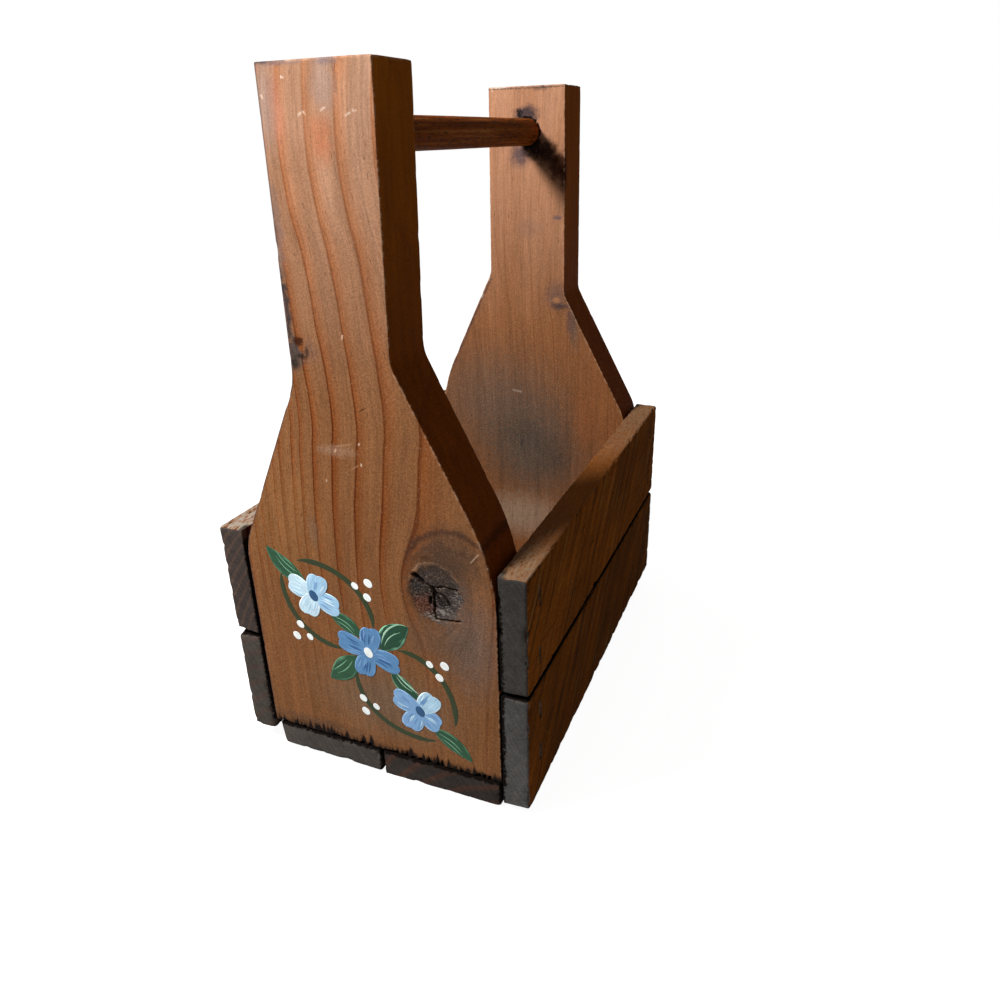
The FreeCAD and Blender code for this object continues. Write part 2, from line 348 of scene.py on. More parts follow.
def weathering_group():
    """Wear the surface of a timber inwards: hollows, fibres, saw marks, chips and pits."""
    tree, given, result = new_group("Weathered timber", {
        "Hollow Depth": "Float", "Fibre Depth": "Float", "Fibre Stretch": "Vector",
        "Saw Depth": "Float", "Saw Direction": "Vector", "Chip Depth": "Float",
        "Seed": "Float", "Finish": "Material",
    })
    source = given.outputs
    place = add(tree, "GeometryNodeInputPosition")
    arris = add(tree, NAMED, {"Name": "arris"}, data_type="FLOAT")
    pit = add(tree, NAMED, {"Name": "pit"}, data_type="FLOAT")
    hollow = add(tree, NOISE_4D, place, source["Seed"], 38.0, 1.0)
    stretched = add(tree, STRETCH, place, source["Fibre Stretch"])
    fibre = add(tree, NOISE_4D, stretched, source["Seed"], 1.0, 2.0)
    across = add(tree, DOT, place, source["Saw Direction"])
    swing = add(tree, TIMES_PLUS, hollow, 9.0, across)
    wave = add(tree, SINE, swing)
    wave = add(tree, RANGE, wave, -1.0, 1.0)
    chips = add(tree, NOISE_4D, place, source["Seed"], 190.0, 4.0)
    chips = add(tree, SMOOTH_RANGE, chips, 0.52, 0.72)
    chips = add(tree, TIMES, chips, arris)
    depth = add(tree, TIMES, hollow, source["Hollow Depth"])
    for field, amount in ((fibre, "Fibre Depth"), (wave, "Saw Depth"), (chips, "Chip Depth")):
        depth = add(tree, TIMES_PLUS, field, source[amount], depth)
    depth = add(tree, PLUS, depth, pit)
    inward = add(tree, TIMES, depth, -1.0)
    normal = add(tree, "GeometryNodeInputNormal")
    offset = add(tree, SCALE, normal, inward)
    moved = add(tree, "GeometryNodeSetPosition",
                {"Geometry": source["Geometry"], "Offset": offset})
    return end_group(tree, given, result, moved)


def weather(piece, material, seed, amounts):
    """Wear a piece's timber and give it its material. The amounts are inputs of the group."""
    group = bpy.data.node_groups.get("Weathered timber") or weathering_group()
    run_nodes(piece, group, {"Saw Depth": 0.0, "Saw Direction": (0, 0, 1), "Chip Depth": 0.0,
                             "Seed": float(seed), "Finish": material, **amounts})


def follow_outline(node, places, corners, axis, along, probe, inset, count, margin):
    """Places along an axis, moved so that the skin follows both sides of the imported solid.

    Rays down the axis find the sides at count stations, which keep inset from the corners of
    the box. probe is the rays' place on the third axis. Places within margin of a side keep
    their distance from it.
    """
    low, high = corners
    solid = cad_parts[node].data
    search = BVHTree.FromPolygons([v.co for v in solid.vertices],
                                  [p.vertices for p in solid.polygons])
    stations = np.linspace(low[along] + inset, high[along] - inset, count)
    sides = np.empty((2, count))
    for number, station in enumerate(stations):
        for side, (corner, way) in enumerate(((low, 1), (high, -1))):
            origin, heading = Vector(), Vector()
            origin[along], origin[3 - axis - along] = station, probe
            origin[axis] = corner[axis] - way * 10 * MM
            heading[axis] = way
            sides[side, number] = search.ray_cast(origin, heading)[0][axis]
    low_side, high_side = (np.interp(places[:, along], stations, side) for side in sides)
    values, low, high = places[:, axis], low[axis], high[axis]
    share = (values - low - margin) / (high - low - 2 * margin)
    middle = low_side + margin + share * (high_side - low_side - 2 * margin)
    return np.where(values < low + margin, low_side + values - low,
                    np.where(values > high - margin, high_side - (high - values), middle))


def distance_to_path(x, z, path):
    """Distance of points from a path of straight runs, all in one plane."""
    nearest = np.full(x.shape, np.inf)
    for (ax, az), (bx, bz) in zip(path[:-1], path[1:]):
        run = np.array((bx - ax, bz - az))
        along = np.clip(((x - ax) * run[0] + (z - az) * run[1]) / run.dot(run), 0, 1)
        nearest = np.minimum(nearest, np.hypot(x - ax - along * run[0], z - az - along * run[1]))
    return nearest


def seam_dirt_and_shade(points, node, reach):
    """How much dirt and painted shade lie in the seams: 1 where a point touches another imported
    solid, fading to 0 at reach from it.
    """
    places, faces = [], []
    for other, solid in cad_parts.items():
        if other != node and not other.endswith("_staples"):
            first = len(places)
            places += [v.co for v in solid.data.vertices]
            faces += [[first + corner for corner in p.vertices] for p in solid.data.polygons]
    search = BVHTree.FromPolygons(places, faces)
    gaps = np.full(len(points), reach)
    for number, point in enumerate(points):
        gap = search.find_nearest(point, reach)[3]
        if gap is not None:
            gaps[number] = gap
    return 1 - gaps / reach


def take_over(piece, node):
    """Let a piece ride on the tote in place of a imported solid."""
    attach(piece, BODY)
    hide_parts(node)


# The boards' looks, in millimetres, each in the tote's own X and Z. bend is how far the grain leans
# at each height, and lines are where growth lines would stand on straight grain. knots turn the
# grain aside. contrast and dust are the strengths of the rings and of the dust at each height, and
# warmth the share of latewood between the rings. The dust's rise up the neck is partly painted
# light. An arch is a ring over a knot: its colour, centre, radii, half width as a share, and
# strength. heart is the centre and the radii of the large knot's dead wood. A patch is its colour,
# centre, radii, strength and softness, and a mark is its colour, two ends, half width and strength.
# A few of the rear board's patches paint the dowel's shadow. A grimy board has dirt on its left
# arris.
# The rings also lean with the depth in the board, as a share of it, and wander by a few mm.
BOARD_HEIGHT = 210.0
LINE_SPAN = 45.0
RING_LEAN = 0.22
RING_WANDER = 2.6
BOARD_LOOKS = {
    "front_end_board": {
        "bend": ((0, 0.5), (60, 0.5), (90, 0.9), (112, 2.2), (122, 3.2), (135, 2.6), (145, 1.6),
                 (162, 0.2), (180, -2.9), (188, -3.4), (210, -1)),
        "lines": (-41, -36, -33, -30.5, -27.5, -25, -20.5, -17.5, -13.5, -7.2, 0.3, 9, 18.5, 36),
        "knots": ((23.4, 73.6, 8.6), (-12.6, 141, 1.2)),
        "contrast": ((0, 0.15), (52, 0.35), (75, 0.7), (100, 1), (132, 1), (155, 0.8),
                     (210, 0.75)),
        "dust": ((0, 0.02), (107, 0.02), (127, 0.04), (156, 0.21), (177, 0.38), (188, 0.46),
                 (196, 0.58), (210, 0.62)),
        "warmth": 0.06,
        "arches": (("#452A1F", 29, 78.6, 14.8, 15, 0.1, 0.8),
                   ("#523526", 27, 76, 12.2, 13, 0.09, 0.35)),
        "heart": (23.6, 73.4, 8.5, 9.5),
        "patches": (
            ("#44372F", 28, 85, 12, 11, 0.75, 0.8), ("#655D5A", 34, 58, 10, 20, 0.55, 0.9),
            ("#5A4C42", 22, 57, 14, 9, 0.45, 0.9), ("#6D6254", 4, 30, 26, 15, 0.5, 0.9),
            ("#4A3A30", -24, 13.5, 22, 3, 0.5, 0.8), ("#735F58", -14.6, 170, 2.4, 12, 0.65, 0.6),
            ("#393233", -15.9, 151, 2.8, 10.5, 0.92, 0.4),
            ("#6A5044", -9.2, 140.4, 3, 3.8, 0.5, 0.8),
            ("#453F3D", -13.9, 139.4, 3, 4.8, 0.9, 0.6),
            ("#262120", -14.4, 136.8, 1.8, 1.8, 0.7, 0.7),
            ("#3A1A0A", -12, 142.8, 1.7, 1.4, 0.9, 0.5),
            ("#8A4D22", -11.6, 141.1, 1.1, 1.1, 0.7, 0.7),
            ("#2E221C", -9.9, 140.2, 0.8, 1.6, 0.75, 0.7),
            ("#231812", -11.9, 138.9, 2.4, 0.8, 0.75, 0.7), ("#97683F", -26, 88, 15, 22, 0.4, 0.9),
            ("#9A867E", -13, 199, 4, 10, 0.5, 0.8), ("#8F7E78", 3.4, 202, 4, 6, 0.45, 0.8),
            ("#6A6269", 4.6, 207, 3.6, 1.4, 0.65, 0.8), ("#6A6066", -8, 207.2, 8, 1, 0.7, 0.8),
            ("#B2633A", 1.6, 191, 3.4, 6, 0.5, 0.8), ("#B0705A", -10, 197, 2.4, 10, 0.4, 0.8),
            ("#A98D78", -4.4, 113.2, 7, 1.9, 0.28, 0.7),
            ("#6A6058", -15.6, 86.5, 2.2, 6, 0.25, 0.8),
        ),
        "marks": (
            ("#D9B79C", (-4.8, 112.8), (-4.4, 113.6), 0.26, 0.6),
            ("#CFAA8E", (-4, 114.6), (0.6, 115.6), 0.3, 0.22),
            ("#E0C4AC", (3.1, 115.8), (3.3, 116.1), 0.24, 0.7),
            ("#C9A68C", (0.2, 108.4), (2.2, 109.6), 0.14, 0.35),
            ("#E8D2BA", (3.2, 109.7), (3.3, 110.1), 0.26, 0.8),
            ("#D0B096", (-8.8, 103.5), (-8.7, 103.9), 0.2, 0.6),
            ("#26160E", (4.3, 125.3), (6.2, 126.3), 0.2, 0.8),
            ("#E9D2C0", (-4, 196.1), (-3.4, 196.5), 0.3, 0.5),
            ("#E9D2C0", (-2.6, 196.6), (-2.2, 196.3), 0.26, 0.5),
            ("#E9D2C0", (2.2, 196.9), (3.3, 197.4), 0.24, 0.5),
            ("#E9D2C0", (8.6, 195.6), (9.8, 196.1), 0.28, 0.4),
            ("#E9D2C0", (10.6, 196.6), (11.5, 196.4), 0.24, 0.35),
            ("#E9D2C0", (-7.6, 204), (-7.1, 203.8), 0.26, 0.6),
            ("#E9D2C0", (-13.8, 200.4), (-13.5, 200), 0.3, 0.5),
            ("#7A5A4C", (6.4, 208), (6.6, 200.6), 0.4, 0.5),
            ("#DDBFA6", (1.3, 144.3), (1.6, 145.2), 0.22, 0.7),
            ("#D9BBA2", (34.9, 85.6), (37.3, 88.6), 0.15, 0.55),
        ),
        "grimy": True,
    },
    "rear_end_board": {
        "bend": ((0, 0), (70, 1), (120, 0.2), (160, -1.2), (210, 0.4)),
        "lines": (-39, -35.5, -31, -28, -24, -21.5, -18, -14.5, -12, -8.5, -5, -1.5, 3, 6.5, 11,
                  16, 21, 27, 34),
        "knots": ((13.4, 130, 3),),
        "contrast": ((0, 0.2), (120, 0.4), (210, 0.35)),
        "dust": ((0, 0.02), (100, 0.02), (130, 0.14), (165, 0.38), (195, 0.5), (210, 0.55)),
        "warmth": 0.3,
        "arches": (),
        "heart": None,
        "patches": (
            ("#5E5046", -14, 86, 36, 26, 0.65, 0.9), ("#4F463E", 2, 64, 28, 27, 0.85, 0.9),
            ("#3F3731", 0, 71, 9, 9, 0.3, 0.9), ("#3D3732", 12, 62, 7, 8, 0.3, 0.9),
            # The patch at 13, 180.2 is part of the dowel's painted shadow
            ("#8A5330", 25, 82, 6, 16, 0.5, 0.9), ("#2E0F07", 13, 180.2, 5, 6, 0.88, 0.6),
            ("#8C7460", -4, 32, 26, 12, 0.9, 0.8), ("#2E2A32", 0.2, 198, 5.4, 3.4, 0.9, 0.6),
            ("#1E1B1E", -2.4, 198, 1.2, 1.8, 0.9, 0.6),
            ("#4A3E44", -2.6, 184.2, 4.4, 5, 0.85, 0.8),
            # Painted shadow of the dowel, falling down to the right: the black patch at 3, 186.6,
            # the one at 8, 184.6 and, on the next line, the one at 17.2, 176
            ("#070405", 3, 186.6, 5.4, 4.6, 0.97, 0.6), ("#1C0A05", 8, 184.6, 5, 5.4, 0.9, 0.6),
            ("#2A0C06", 17.2, 176, 4.6, 6, 0.88, 0.6), ("#604B46", 12.2, 132, 5.4, 6, 0.6, 0.8),
            ("#3E3338", 14, 128, 4.6, 1.5, 0.75, 0.8),
            ("#B27A50", 12.4, 130.2, 1.7, 1.4, 0.6, 0.7), ("#4C3C3E", 18.6, 123, 2.6, 8, 0.6, 0.8),
            ("#544650", 12.4, 161.6, 2.2, 0.9, 0.7, 0.7),
            ("#6E544C", 0.6, 157.6, 5, 4.6, 0.25, 0.8), ("#D6C6B8", -11, 207.4, 5, 0.7, 0.8, 0.5),
            ("#4A3C38", 6, 206.8, 4, 1.4, 0.7, 0.8), ("#54483F", 20, 118, 2.6, 9, 0.5, 0.8),
        ),
        "marks": (
            ("#A8968A", (-7, 91.2), (-3.4, 90.8), 0.4, 0.5),
            ("#4A3A36", (-16, 206.7), (16, 206.7), 0.3, 0.75),
            ("#15110F", (-3.4, 199.6), (-2.6, 197.4), 0.45, 0.9),
            ("#D8CBBE", (-19.9, 131.2), (-20.4, 130), 0.4, 0.8),
            ("#D8CBBE", (-16.6, 138), (-17, 136.8), 0.3, 0.7),
            ("#33292D", (-16.2, 137.6), (-26, 118.6), 0.6, 0.6),
            ("#33292D", (-26, 118.6), (-37, 97.6), 0.9, 0.6),
            ("#3A2E30", (16.6, 134), (26, 114), 0.5, 0.5),
            ("#2C2A2C", (-3.6, 66.4), (-3.2, 68.8), 0.6, 0.5),
            ("#C9B09A", (-13.4, 206), (-13.9, 207), 0.3, 0.8),
        ),
        "grimy": False,
    },
}
# How far the large knot's wood has shrunk, and how deep cracks and torn splinters are
KNOT_SINK = 0.25 * MM
CRACK_DEPTH = 0.9 * MM
# The large knot's shrinkage cracks, from its centre, and the width of each
KNOT_CRACKS = (
    (((-6.6, 5), (-4.3, 3.2)), 0.6), (((-4, 3), (-2.6, 2.6), (-1.3, 1.5)), 0.24),
    (((-1.3, 1.6), (-0.2, 0)), 0.55), (((-1, 2), (0.6, 2.1), (2.4, 2.7), (6.6, 2.5)), 0.16),
    (((-0.7, 0.1), (-1, -2), (-0.6, -4.2)), 0.36), (((-0.6, -4.2), (-0.9, -6), (-0.4, -8.4)), 0.2),
    (((0.4, 0.3), (2.2, -0.2), (3.4, -1.4), (4, -3)), 0.24), (((-1.9, -1.6), (-2.1, -3.6)), 0.3),
    (((0.6, -0.9), (1.4, -2.2), (3, -3.4)), 0.18), (((-0.4, -8.4), (3, -8.2), (7.2, -7.6)), 0.2),
)


def measured_place(tree):
    """The surface's place in millimetres, as a vector and as X, Y and Z."""
    coordinates = add(tree, "ShaderNodeTexCoord")
    place = add(tree, SCALE, coordinates.outputs["Object"], 1 / MM)
    return place, add(tree, SEPARATE, place).outputs


def facing(tree, axis, both_ways=True):
    """1 where a face looks along an axis, 0 where it looks well away from it."""
    normal = add(tree, "ShaderNodeNewGeometry").outputs["Normal"]
    part = add(tree, SEPARATE, normal).outputs[axis]
    if both_ways:
        part = add(tree, ABSOLUTE, part)
    return add(tree, SMOOTH_RANGE, part, 0.55, 0.8)


def stretched_noise(tree, place, stretch, scale, seed, detail=2.0, span=()):
    """Noise in millimetres, stretched along the grain by a share for each axis.

    A span is two values of the noise and what they become, with a ramp between them.
    """
    vector = add(tree, STRETCH, place, stretch)
    noise = add(tree, NOISE_4D, vector, seed, scale, detail)
    return add(tree, RANGE, noise, *span) if span else noise


def varied(tree, tone, *fields):
    """A tone varied by noise fields, each between its least and its most share."""
    for field, least, most in fields:
        tone = add(tree, TIMES, tone, add(tree, RANGE, field, 0.3, 0.7, least, most))
    return tone


def curve_through(tree, value, span, places, low, high):
    """A smooth curve through (value, result) places, over 0 to span."""
    share = add(tree, TIMES, value, 1 / span)
    points = [(at / span, (result - low) / (high - low)) for at, result in places]
    curve = add(tree, CURVE, share, points=points)
    return add(tree, RANGE, curve, 0, 1, low, high, clamp=False)


def oval_distance(tree, place, centre, radii):
    """Distance from a point across the board's face, 1 on an oval of the given radii."""
    away = add(tree, AWAY, place, (centre[0], 0, centre[1]))
    away = add(tree, STRETCH, away, (1 / radii[0], 0, 1 / radii[1]))
    return add(tree, LENGTH, away)


def oval_cover(tree, place, oval, ragged, amount, near, far, most, kind=RANGE):
    """How much an oval with a ragged rim covers: most within near, and none past far, both in
    shares of its radii. An oval is its centre's X and Z and its radii."""
    away = oval_distance(tree, place, oval[:2], oval[2:])
    away = add(tree, TIMES_PLUS, ragged, amount, away)
    return add(tree, kind, away, near, far, most, 0.0)


def ring_cover(tree, place, oval, ragged, amount, half, most, kind=RANGE):
    """How much a ragged ring on an oval covers: most on the oval, and none past half of its
    radii to either side, as a share."""
    away = oval_distance(tree, place, oval[:2], oval[2:])
    away = add(tree, TIMES_PLUS, ragged, amount, away)
    away = add(tree, ABSOLUTE, add(tree, MINUS, away, 1.0))
    return add(tree, kind, away, 0.0, half, most, 0.0)


def dash_distance(tree, place, start, end):
    """Distance in millimetres from a short straight mark on the board's face."""
    run = Vector((end[0] - start[0], 0, end[1] - start[1]))
    away = add(tree, AWAY, place, (start[0], 0, start[1]))
    away = add(tree, STRETCH, away, (1, 0, 1))
    share = add(tree, RANGE, add(tree, DOT, away, run / run.length_squared))
    back = add(tree, SCALE, run, share)
    return add(tree, DISTANCE, away, back)


def grain_across(tree, place, x, y, z, look, seed):
    """How far across straight grain a point would lie: the grain bends with the board's
    height, and parts round each knot as a stream parts round a post."""
    flow = x
    for kx, kz, radius in look["knots"]:
        away = add(tree, AWAY, place, (kx, 0, kz))
        away = add(tree, STRETCH, away, (1, 0, 0.72))
        reach = add(tree, LENGTH, away)
        reach = add(tree, MAXIMUM, reach, radius)
        share = add(tree, OVER, radius, reach)
        share = add(tree, POWER, share, 2.0)
        sideways = add(tree, MINUS, x, kx)
        pushed = add(tree, TIMES, sideways, share)
        flow = add(tree, MINUS, flow, pushed)
    bend = curve_through(tree, z, BOARD_HEIGHT, look["bend"], -10.0, 10.0)
    grain = add(tree, MINUS, flow, bend)
    lean = add(tree, TIMES_PLUS, y, RING_LEAN, grain)
    wander = stretched_noise(tree, place, (1, 1, 0.22), 0.09, seed, 3.0)
    return add(tree, TIMES_PLUS, wander, RING_WANDER, lean)


def growth_rings(tree, grain, y_face, lines):
    """How much a point lies in latewood, and how near it is to the thin line that starts each
    growth ring. Each ring fades from that line into duller earlywood."""
    middle = RING_LEAN * y_face + RING_WANDER / 2
    places = [((at + LINE_SPAN) / (2 * LINE_SPAN), (count + 1) / (len(lines) + 1))
              for count, at in enumerate(lines)]
    share = add(tree, RANGE, grain, middle - LINE_SPAN, middle + LINE_SPAN)
    ring = add(tree, CURVE, share, points=[(0, 0), *places, (1, 1)])
    ring = add(tree, TIMES, ring, float(len(lines) + 1))
    ring = add(tree, FRACTION, ring)
    late = add(tree, CURVE, ring, points=[(0, 0.9), (0.05, 1), (0.15, 0.86), (0.3, 0.48),
                                          (0.5, 0.14), (0.7, 0), (0.92, 0), (1, 0.6)])
    line = add(tree, CURVE, ring, points=[(0, 1), (0.05, 0.7), (0.11, 0), (0.94, 0), (1, 1)])
    return late, line


def knot_heart(tree, place, heart, ragged, finish, under):
    """Lay the dead knot over the board's colour: mottled charcoal wood with a reddish corner, a
    painted highlight on a thin rim over its top, and a dusty fringe."""
    kx, kz, across, up = heart
    distance = oval_distance(tree, place, (kx, kz), (across, up))
    distance = add(tree, TIMES_PLUS, ragged, 0.2, distance)
    fringe = add(tree, RANGE, distance, 1.0, 1.45, 0.55, 0.0)
    colour = add(tree, MIX, fringe, under, "#4A3628")
    body = add(tree, NOISE, place, 0.7, 6.0, 0.75)
    body = add(tree, RAMP, body, stops=[(0.32, "#120F0E"), (0.46, finish.knot), (0.57, "#443B37"),
                                        (0.7, "#776A62")])
    for shade, px, pz, rx, rz, most in (("#5E3A2B", -4.8, -4.6, 4.4, 4.6, 0.75),
                                        ("#544640", 0.6, 5.6, 6.0, 3.4, 0.4),
                                        ("#33322F", -6.0, 0.4, 3.0, 3.6, 0.4)):
        near = oval_cover(tree, place, (kx + px, kz + pz, rx, rz), ragged, 0.25, 0.4, 1.15, most)
        body = add(tree, MIX, near, body, shade)
    speckle = add(tree, NOISE, place, 1.7, 4.0)
    speckle = add(tree, RANGE, speckle, 0.36, 0.64, 0.2, 1.8)
    body = add(tree, SCALE, body, speckle)

    # Pale splinters along the foot of the knot
    splinters = stretched_noise(tree, place, (0.6, 1, 1.5), 1.5, 4.0, 3.0)
    for px, pz, rx, rz in ((0.8, -8.6, 8.4, 2.0), (2.8, -5.6, 3.6, 1.4), (7.0, -1.0, 1.6, 4.0)):
        near = oval_distance(tree, place, (kx + px, kz + pz), (rx, rz))
        near = add(tree, TIMES_PLUS, near, -0.1, splinters)
        near = add(tree, RANGE, near, 0.44, 0.54, 0, 0.8)
        body = add(tree, MIX, near, body, "#8F867F")
    cover = add(tree, SMOOTH_RANGE, distance, 0.84, 1.1, 1.0, 0.0)
    colour = add(tree, MIX, cover, colour, body)
    # Painted highlight: a thin light rim over the knot's top only, where its sunk edge would catch
    # the lamp
    oval = (kx - 0.3, kz - 0.6, across + 0.4, up + 0.9)
    rim = ring_cover(tree, place, oval, ragged, 0.08, 0.09, 0.7)
    rim = add(tree, TIMES, rim, speckle, use_clamp=True)
    top = add(tree, SEPARATE, place).outputs[2]
    top = add(tree, RANGE, top, kz + 2, kz + 7)
    rim = add(tree, TIMES, rim, top)
    return add(tree, MIX, rim, colour, "#AD8262")


def stained_pine(name, board, finish, seed):
    """Pine board, planed, stained and handled: orange bands that start at a thin dark line,
    and fade to dull earlywood, so that the eye reads flat-sawn softwood under an old stain."""
    look = BOARD_LOOKS[board]
    _, face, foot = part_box(board)[0] / MM
    material, tree, shader = new_material(name)
    place, (x, y, z) = measured_place(tree)
    grain = grain_across(tree, place, x, y, z, look, seed)
    late, line = growth_rings(tree, grain, face, look["lines"])
    contrast = curve_through(tree, z, BOARD_HEIGHT, look["contrast"], 0.0, 1.0)
    uneven = stretched_noise(tree, place, (1, 1, 0.3), 0.06, seed + 3, span=(0.3, 0.6, 0.6, 1))
    side = facing(tree, 0)
    even = add(tree, RANGE, side, 0, 1, 1.0, 0.25)
    for share in (uneven, even):
        contrast = add(tree, TIMES, contrast, share)
    shown = add(tree, RANGE, y, face + 1, face + 3, 1.0, 0.0)
    late = add(tree, TIMES, late, contrast)
    late = add(tree, MAXIMUM, late, look["warmth"])
    line = add(tree, TIMES, line, contrast)
    colour = add(tree, MIX, late, finish.stain, finish.latewood)

    # Dust and handling lie heavier on the neck, and pale the latewood to orange. The paling that
    # rises up the neck is partly painted light, standing in for the lamp's stronger light there
    dust_and_neck_light = stretched_noise(tree, place, (1, 1, 0.25), 0.11, seed + 5, 4.0,
                            (0.3, 0.62, 0.65, 1.3))
    height = curve_through(tree, z, BOARD_HEIGHT, look["dust"], 0.0, 1.0)
    dust_and_neck_light = add(tree, TIMES, dust_and_neck_light, height)
    clear = add(tree, TIMES_PLUS, height, -0.9, 1.0)
    line = add(tree, TIMES, line, clear)
    worn = add(tree, MIX, late, "#B8917A", "#CA8456")
    colour = add(tree, MIX, dust_and_neck_light, colour, worn)
    colour = add(tree, TINT, line, colour, finish.growth_line)

    # Fibres follow the bent grain, pores are short dark dashes in it, and grit lies anyhow
    along = add(tree, COMBINE, grain, y, z)
    fibre = stretched_noise(tree, along, (1, 1, 0.05), 1.5, seed + 7, 3.0)
    pores = stretched_noise(tree, along, (1, 1, 0.16), 2.6, seed + 9, 1.0,
                            (0.66, 0.76, 0, 0.45))
    tone = add(tree, RANGE, fibre, 0.25, 0.75, 0.82, 1.18)
    streaks = stretched_noise(tree, along, (1, 1, 0.06), 0.36, seed + 13,
                              span=(0.3, 0.7, 0.86, 1.14))
    grit = add(tree, NOISE, place, 2.6, 3.0)
    gritty = add(tree, RANGE, grit, 0.3, 0.7, 0.7, 1.3)
    gritty = add(tree, BLEND, height, gritty, 1.0)
    flecks = add(tree, NOISE, place, 1.9, 3.0)
    flecks = add(tree, RANGE, flecks, 0.63, 0.7, 0, 0.3)

    # Patches with ragged outlines: stains and bruises, and on the rear board the dowel's painted
    # shadow
    ragged = add(tree, NOISE, place, 0.42, 5.0)
    ragged = add(tree, RANGE, ragged, 0, 1, -1.2, 1.2)
    if look["heart"]:
        colour = knot_heart(tree, place, look["heart"], ragged, finish, colour)
    for shade, *oval, half, strength in look["arches"]:
        cover = ring_cover(tree, place, oval, ragged, 0.06, half, strength, SMOOTH_RANGE)
        above = add(tree, RANGE, z, oval[1] - 4, oval[1] + 9)
        cover = add(tree, TIMES, cover, above)
        colour = add(tree, MIX, cover, colour, shade)
    for shade, *oval, strength, softness in look["patches"]:
        cover = oval_cover(tree, place, oval, ragged, 0.65 - 0.4 * softness, 1 - softness,
                           1 + 0.4 * softness, strength, SMOOTH_RANGE)
        cover = add(tree, TIMES, cover, shown)
        colour = add(tree, MIX, cover, colour, shade)
    for share in (gritty, streaks):
        tone = add(tree, TIMES, tone, share)
    colour = add(tree, SCALE, colour, tone)
    colour = add(tree, MIX, pores, colour, "#3A2115")
    colour = add(tree, MIX, flecks, colour, "#B59C86")

    # Scratches and flecks, broken up by the grit
    for shade, start, end, half_width, strength in look["marks"]:
        away = dash_distance(tree, place, start, end)
        broken = add(tree, TIMES_PLUS, grit, 4 * half_width, away)
        cover = add(tree, RANGE, broken, 2.2 * half_width, 3.4 * half_width, strength, 0.0)
        cover = add(tree, TIMES, cover, shown)
        colour = add(tree, MIX, cover, colour, shade)

    # Sawn sides and end grain soak up more stain. The right sides, turned away from the lamp, get a
    # darker and more orange tint as painted shade
    sides = add(tree, MAXIMUM, side, facing(tree, 2))
    stain_and_right_side_shade = add(tree, MIX, facing(tree, 0, False), "#D8B08C", "#D99F2A")
    colour = add(tree, TINT, sides, colour, stain_and_right_side_shade)

    # Arrises are rubbed bare in spots, and grimy down one side of the front board
    colour, sharp = bare_arrises(tree, place, colour, 0.75, (0.46, 0.62), (0.5, 0.95, 0, 0.8),
                                 "#B58C70")
    if look["grimy"]:
        grimy = add(tree, RANGE, x, -6.0, -12.0, 0, 1.2)
        grimy = add(tree, TIMES, grimy, sharp, use_clamp=True)
        colour = add(tree, MIX, grimy, colour, "#28242B")

    # Darker towards the foot, with torn splinters blackened there, and dirt and painted shade where
    # pieces meet
    darker_foot = add(tree, TIMES_PLUS, ragged, 1.6, z)
    darker_foot = add(tree, RANGE, darker_foot, foot, foot + 3.2, 0.75, 0.0)
    colour = add(tree, MIX, darker_foot, colour, "#241A15")
    spikes = stretched_noise(tree, place, (1, 1, 0.1), 0.85, seed + 11, 3.0)
    rise = add(tree, RANGE, z, foot, foot + 5.5, 0.38, 0.78, clamp=False)
    spikes = add(tree, MINUS, spikes, rise)
    spikes = add(tree, RANGE, spikes, -0.06, 0.06)
    colour = add(tree, MIX, spikes, colour, "#17110F")
    colour = seam_dirt_shade_and_cracks(tree, place, colour, "#0D0908")
    rough = add(tree, RANGE, fibre, 0.3, 0.7, 0.52, 0.72)
    height = add(tree, MINUS, fibre, pores)
    height = add(tree, TIMES_PLUS, grit, 0.8, height)
    fill(tree, shader, {"Base Color": colour, "Roughness": rough, "Specular IOR Level": 0.02,
                        "Normal": add(tree, BUMP, 0.4, 0.14 * MM, height)})
    return material


def bare_arrises(tree, place, under, scale, spotty, near, bare_hex):
    """Wood laid bare in spots on the arrises. Returns the colour and how sharp the arris is.

    spotty is the span of the noise that shows, and near that of the nearness to an arris.
    """
    arris = add(tree, ATTRIBUTE, attribute_name="arris").outputs["Fac"]
    spots = add(tree, RANGE, add(tree, NOISE, place, scale, 4.0), *spotty)
    sharp = add(tree, RANGE, arris, *near)
    return add(tree, MIX, add(tree, TIMES, spots, sharp), under, bare_hex), sharp


def seam_dirt_shade_and_cracks(tree, place, under, crack_hex):
    """Dirt and painted shade in the seams, from the attribute that says how near another piece
    lies, and cracks.
    """
    dirt, crack = (add(tree, ATTRIBUTE, attribute_name=key).outputs["Fac"]
                   for key in ("dirt", "crack"))
    patchy = add(tree, NOISE, place, 0.9, 4.0)
    dirt = add(tree, RANGE, add(tree, TIMES_PLUS, patchy, 1.1, dirt), 0.8, 1.1)
    return add(tree, MIX, crack, add(tree, MIX, dirt, under, "#120D0B"), crack_hex)


SAW_SLANT = (0, 0.77, -0.64)
# The dust on the top edges of the slats of a side: its colour, the scale of its noise, the part
# of the noise that it fades in over, and where its dark gaps start and how strong they are
TOP_DUST = {
    "right": ("#7E6C58", 1.6, 0.3, 0.62, 0.43, 0.35),
    "left": ("#928A7E", 1.1, 0.42, 0.58, 0.48, 0.8),
}
# How each slat looks: its cut ends' colour and bands, the bands' pitch in millimetres, where
# the heart of its rings lies from the middle of its end in millimetres, the dust on its top,
# and the radius of its worn inner lower edge in millimetres
SLAT_LOOKS = {
    "right_upper_slat": ("#3E3B38", "#413D3B", 3.6, (26, -24), 0.8, 0.5),
    "right_lower_slat": ("#4E4C4B", "#524F4D", 4.4, (26, -24), 0.0, 0.5),
    "left_upper_slat": ("#403835", "#4F4039", 2.9, (96, -66), 1.0, 0.5),
    "left_lower_slat": ("#4B4540", "#51443E", 5.4, (30, -60), 0.0, 2.2),
    "right_floor_slat": ("#38322F", "#48352E", 6.4, (30, -44), 0.0, 0.5),
    "left_floor_slat": ("#4A4541", "#4C4642", 6.0, (26, -24), 0.0, 2.2),
}


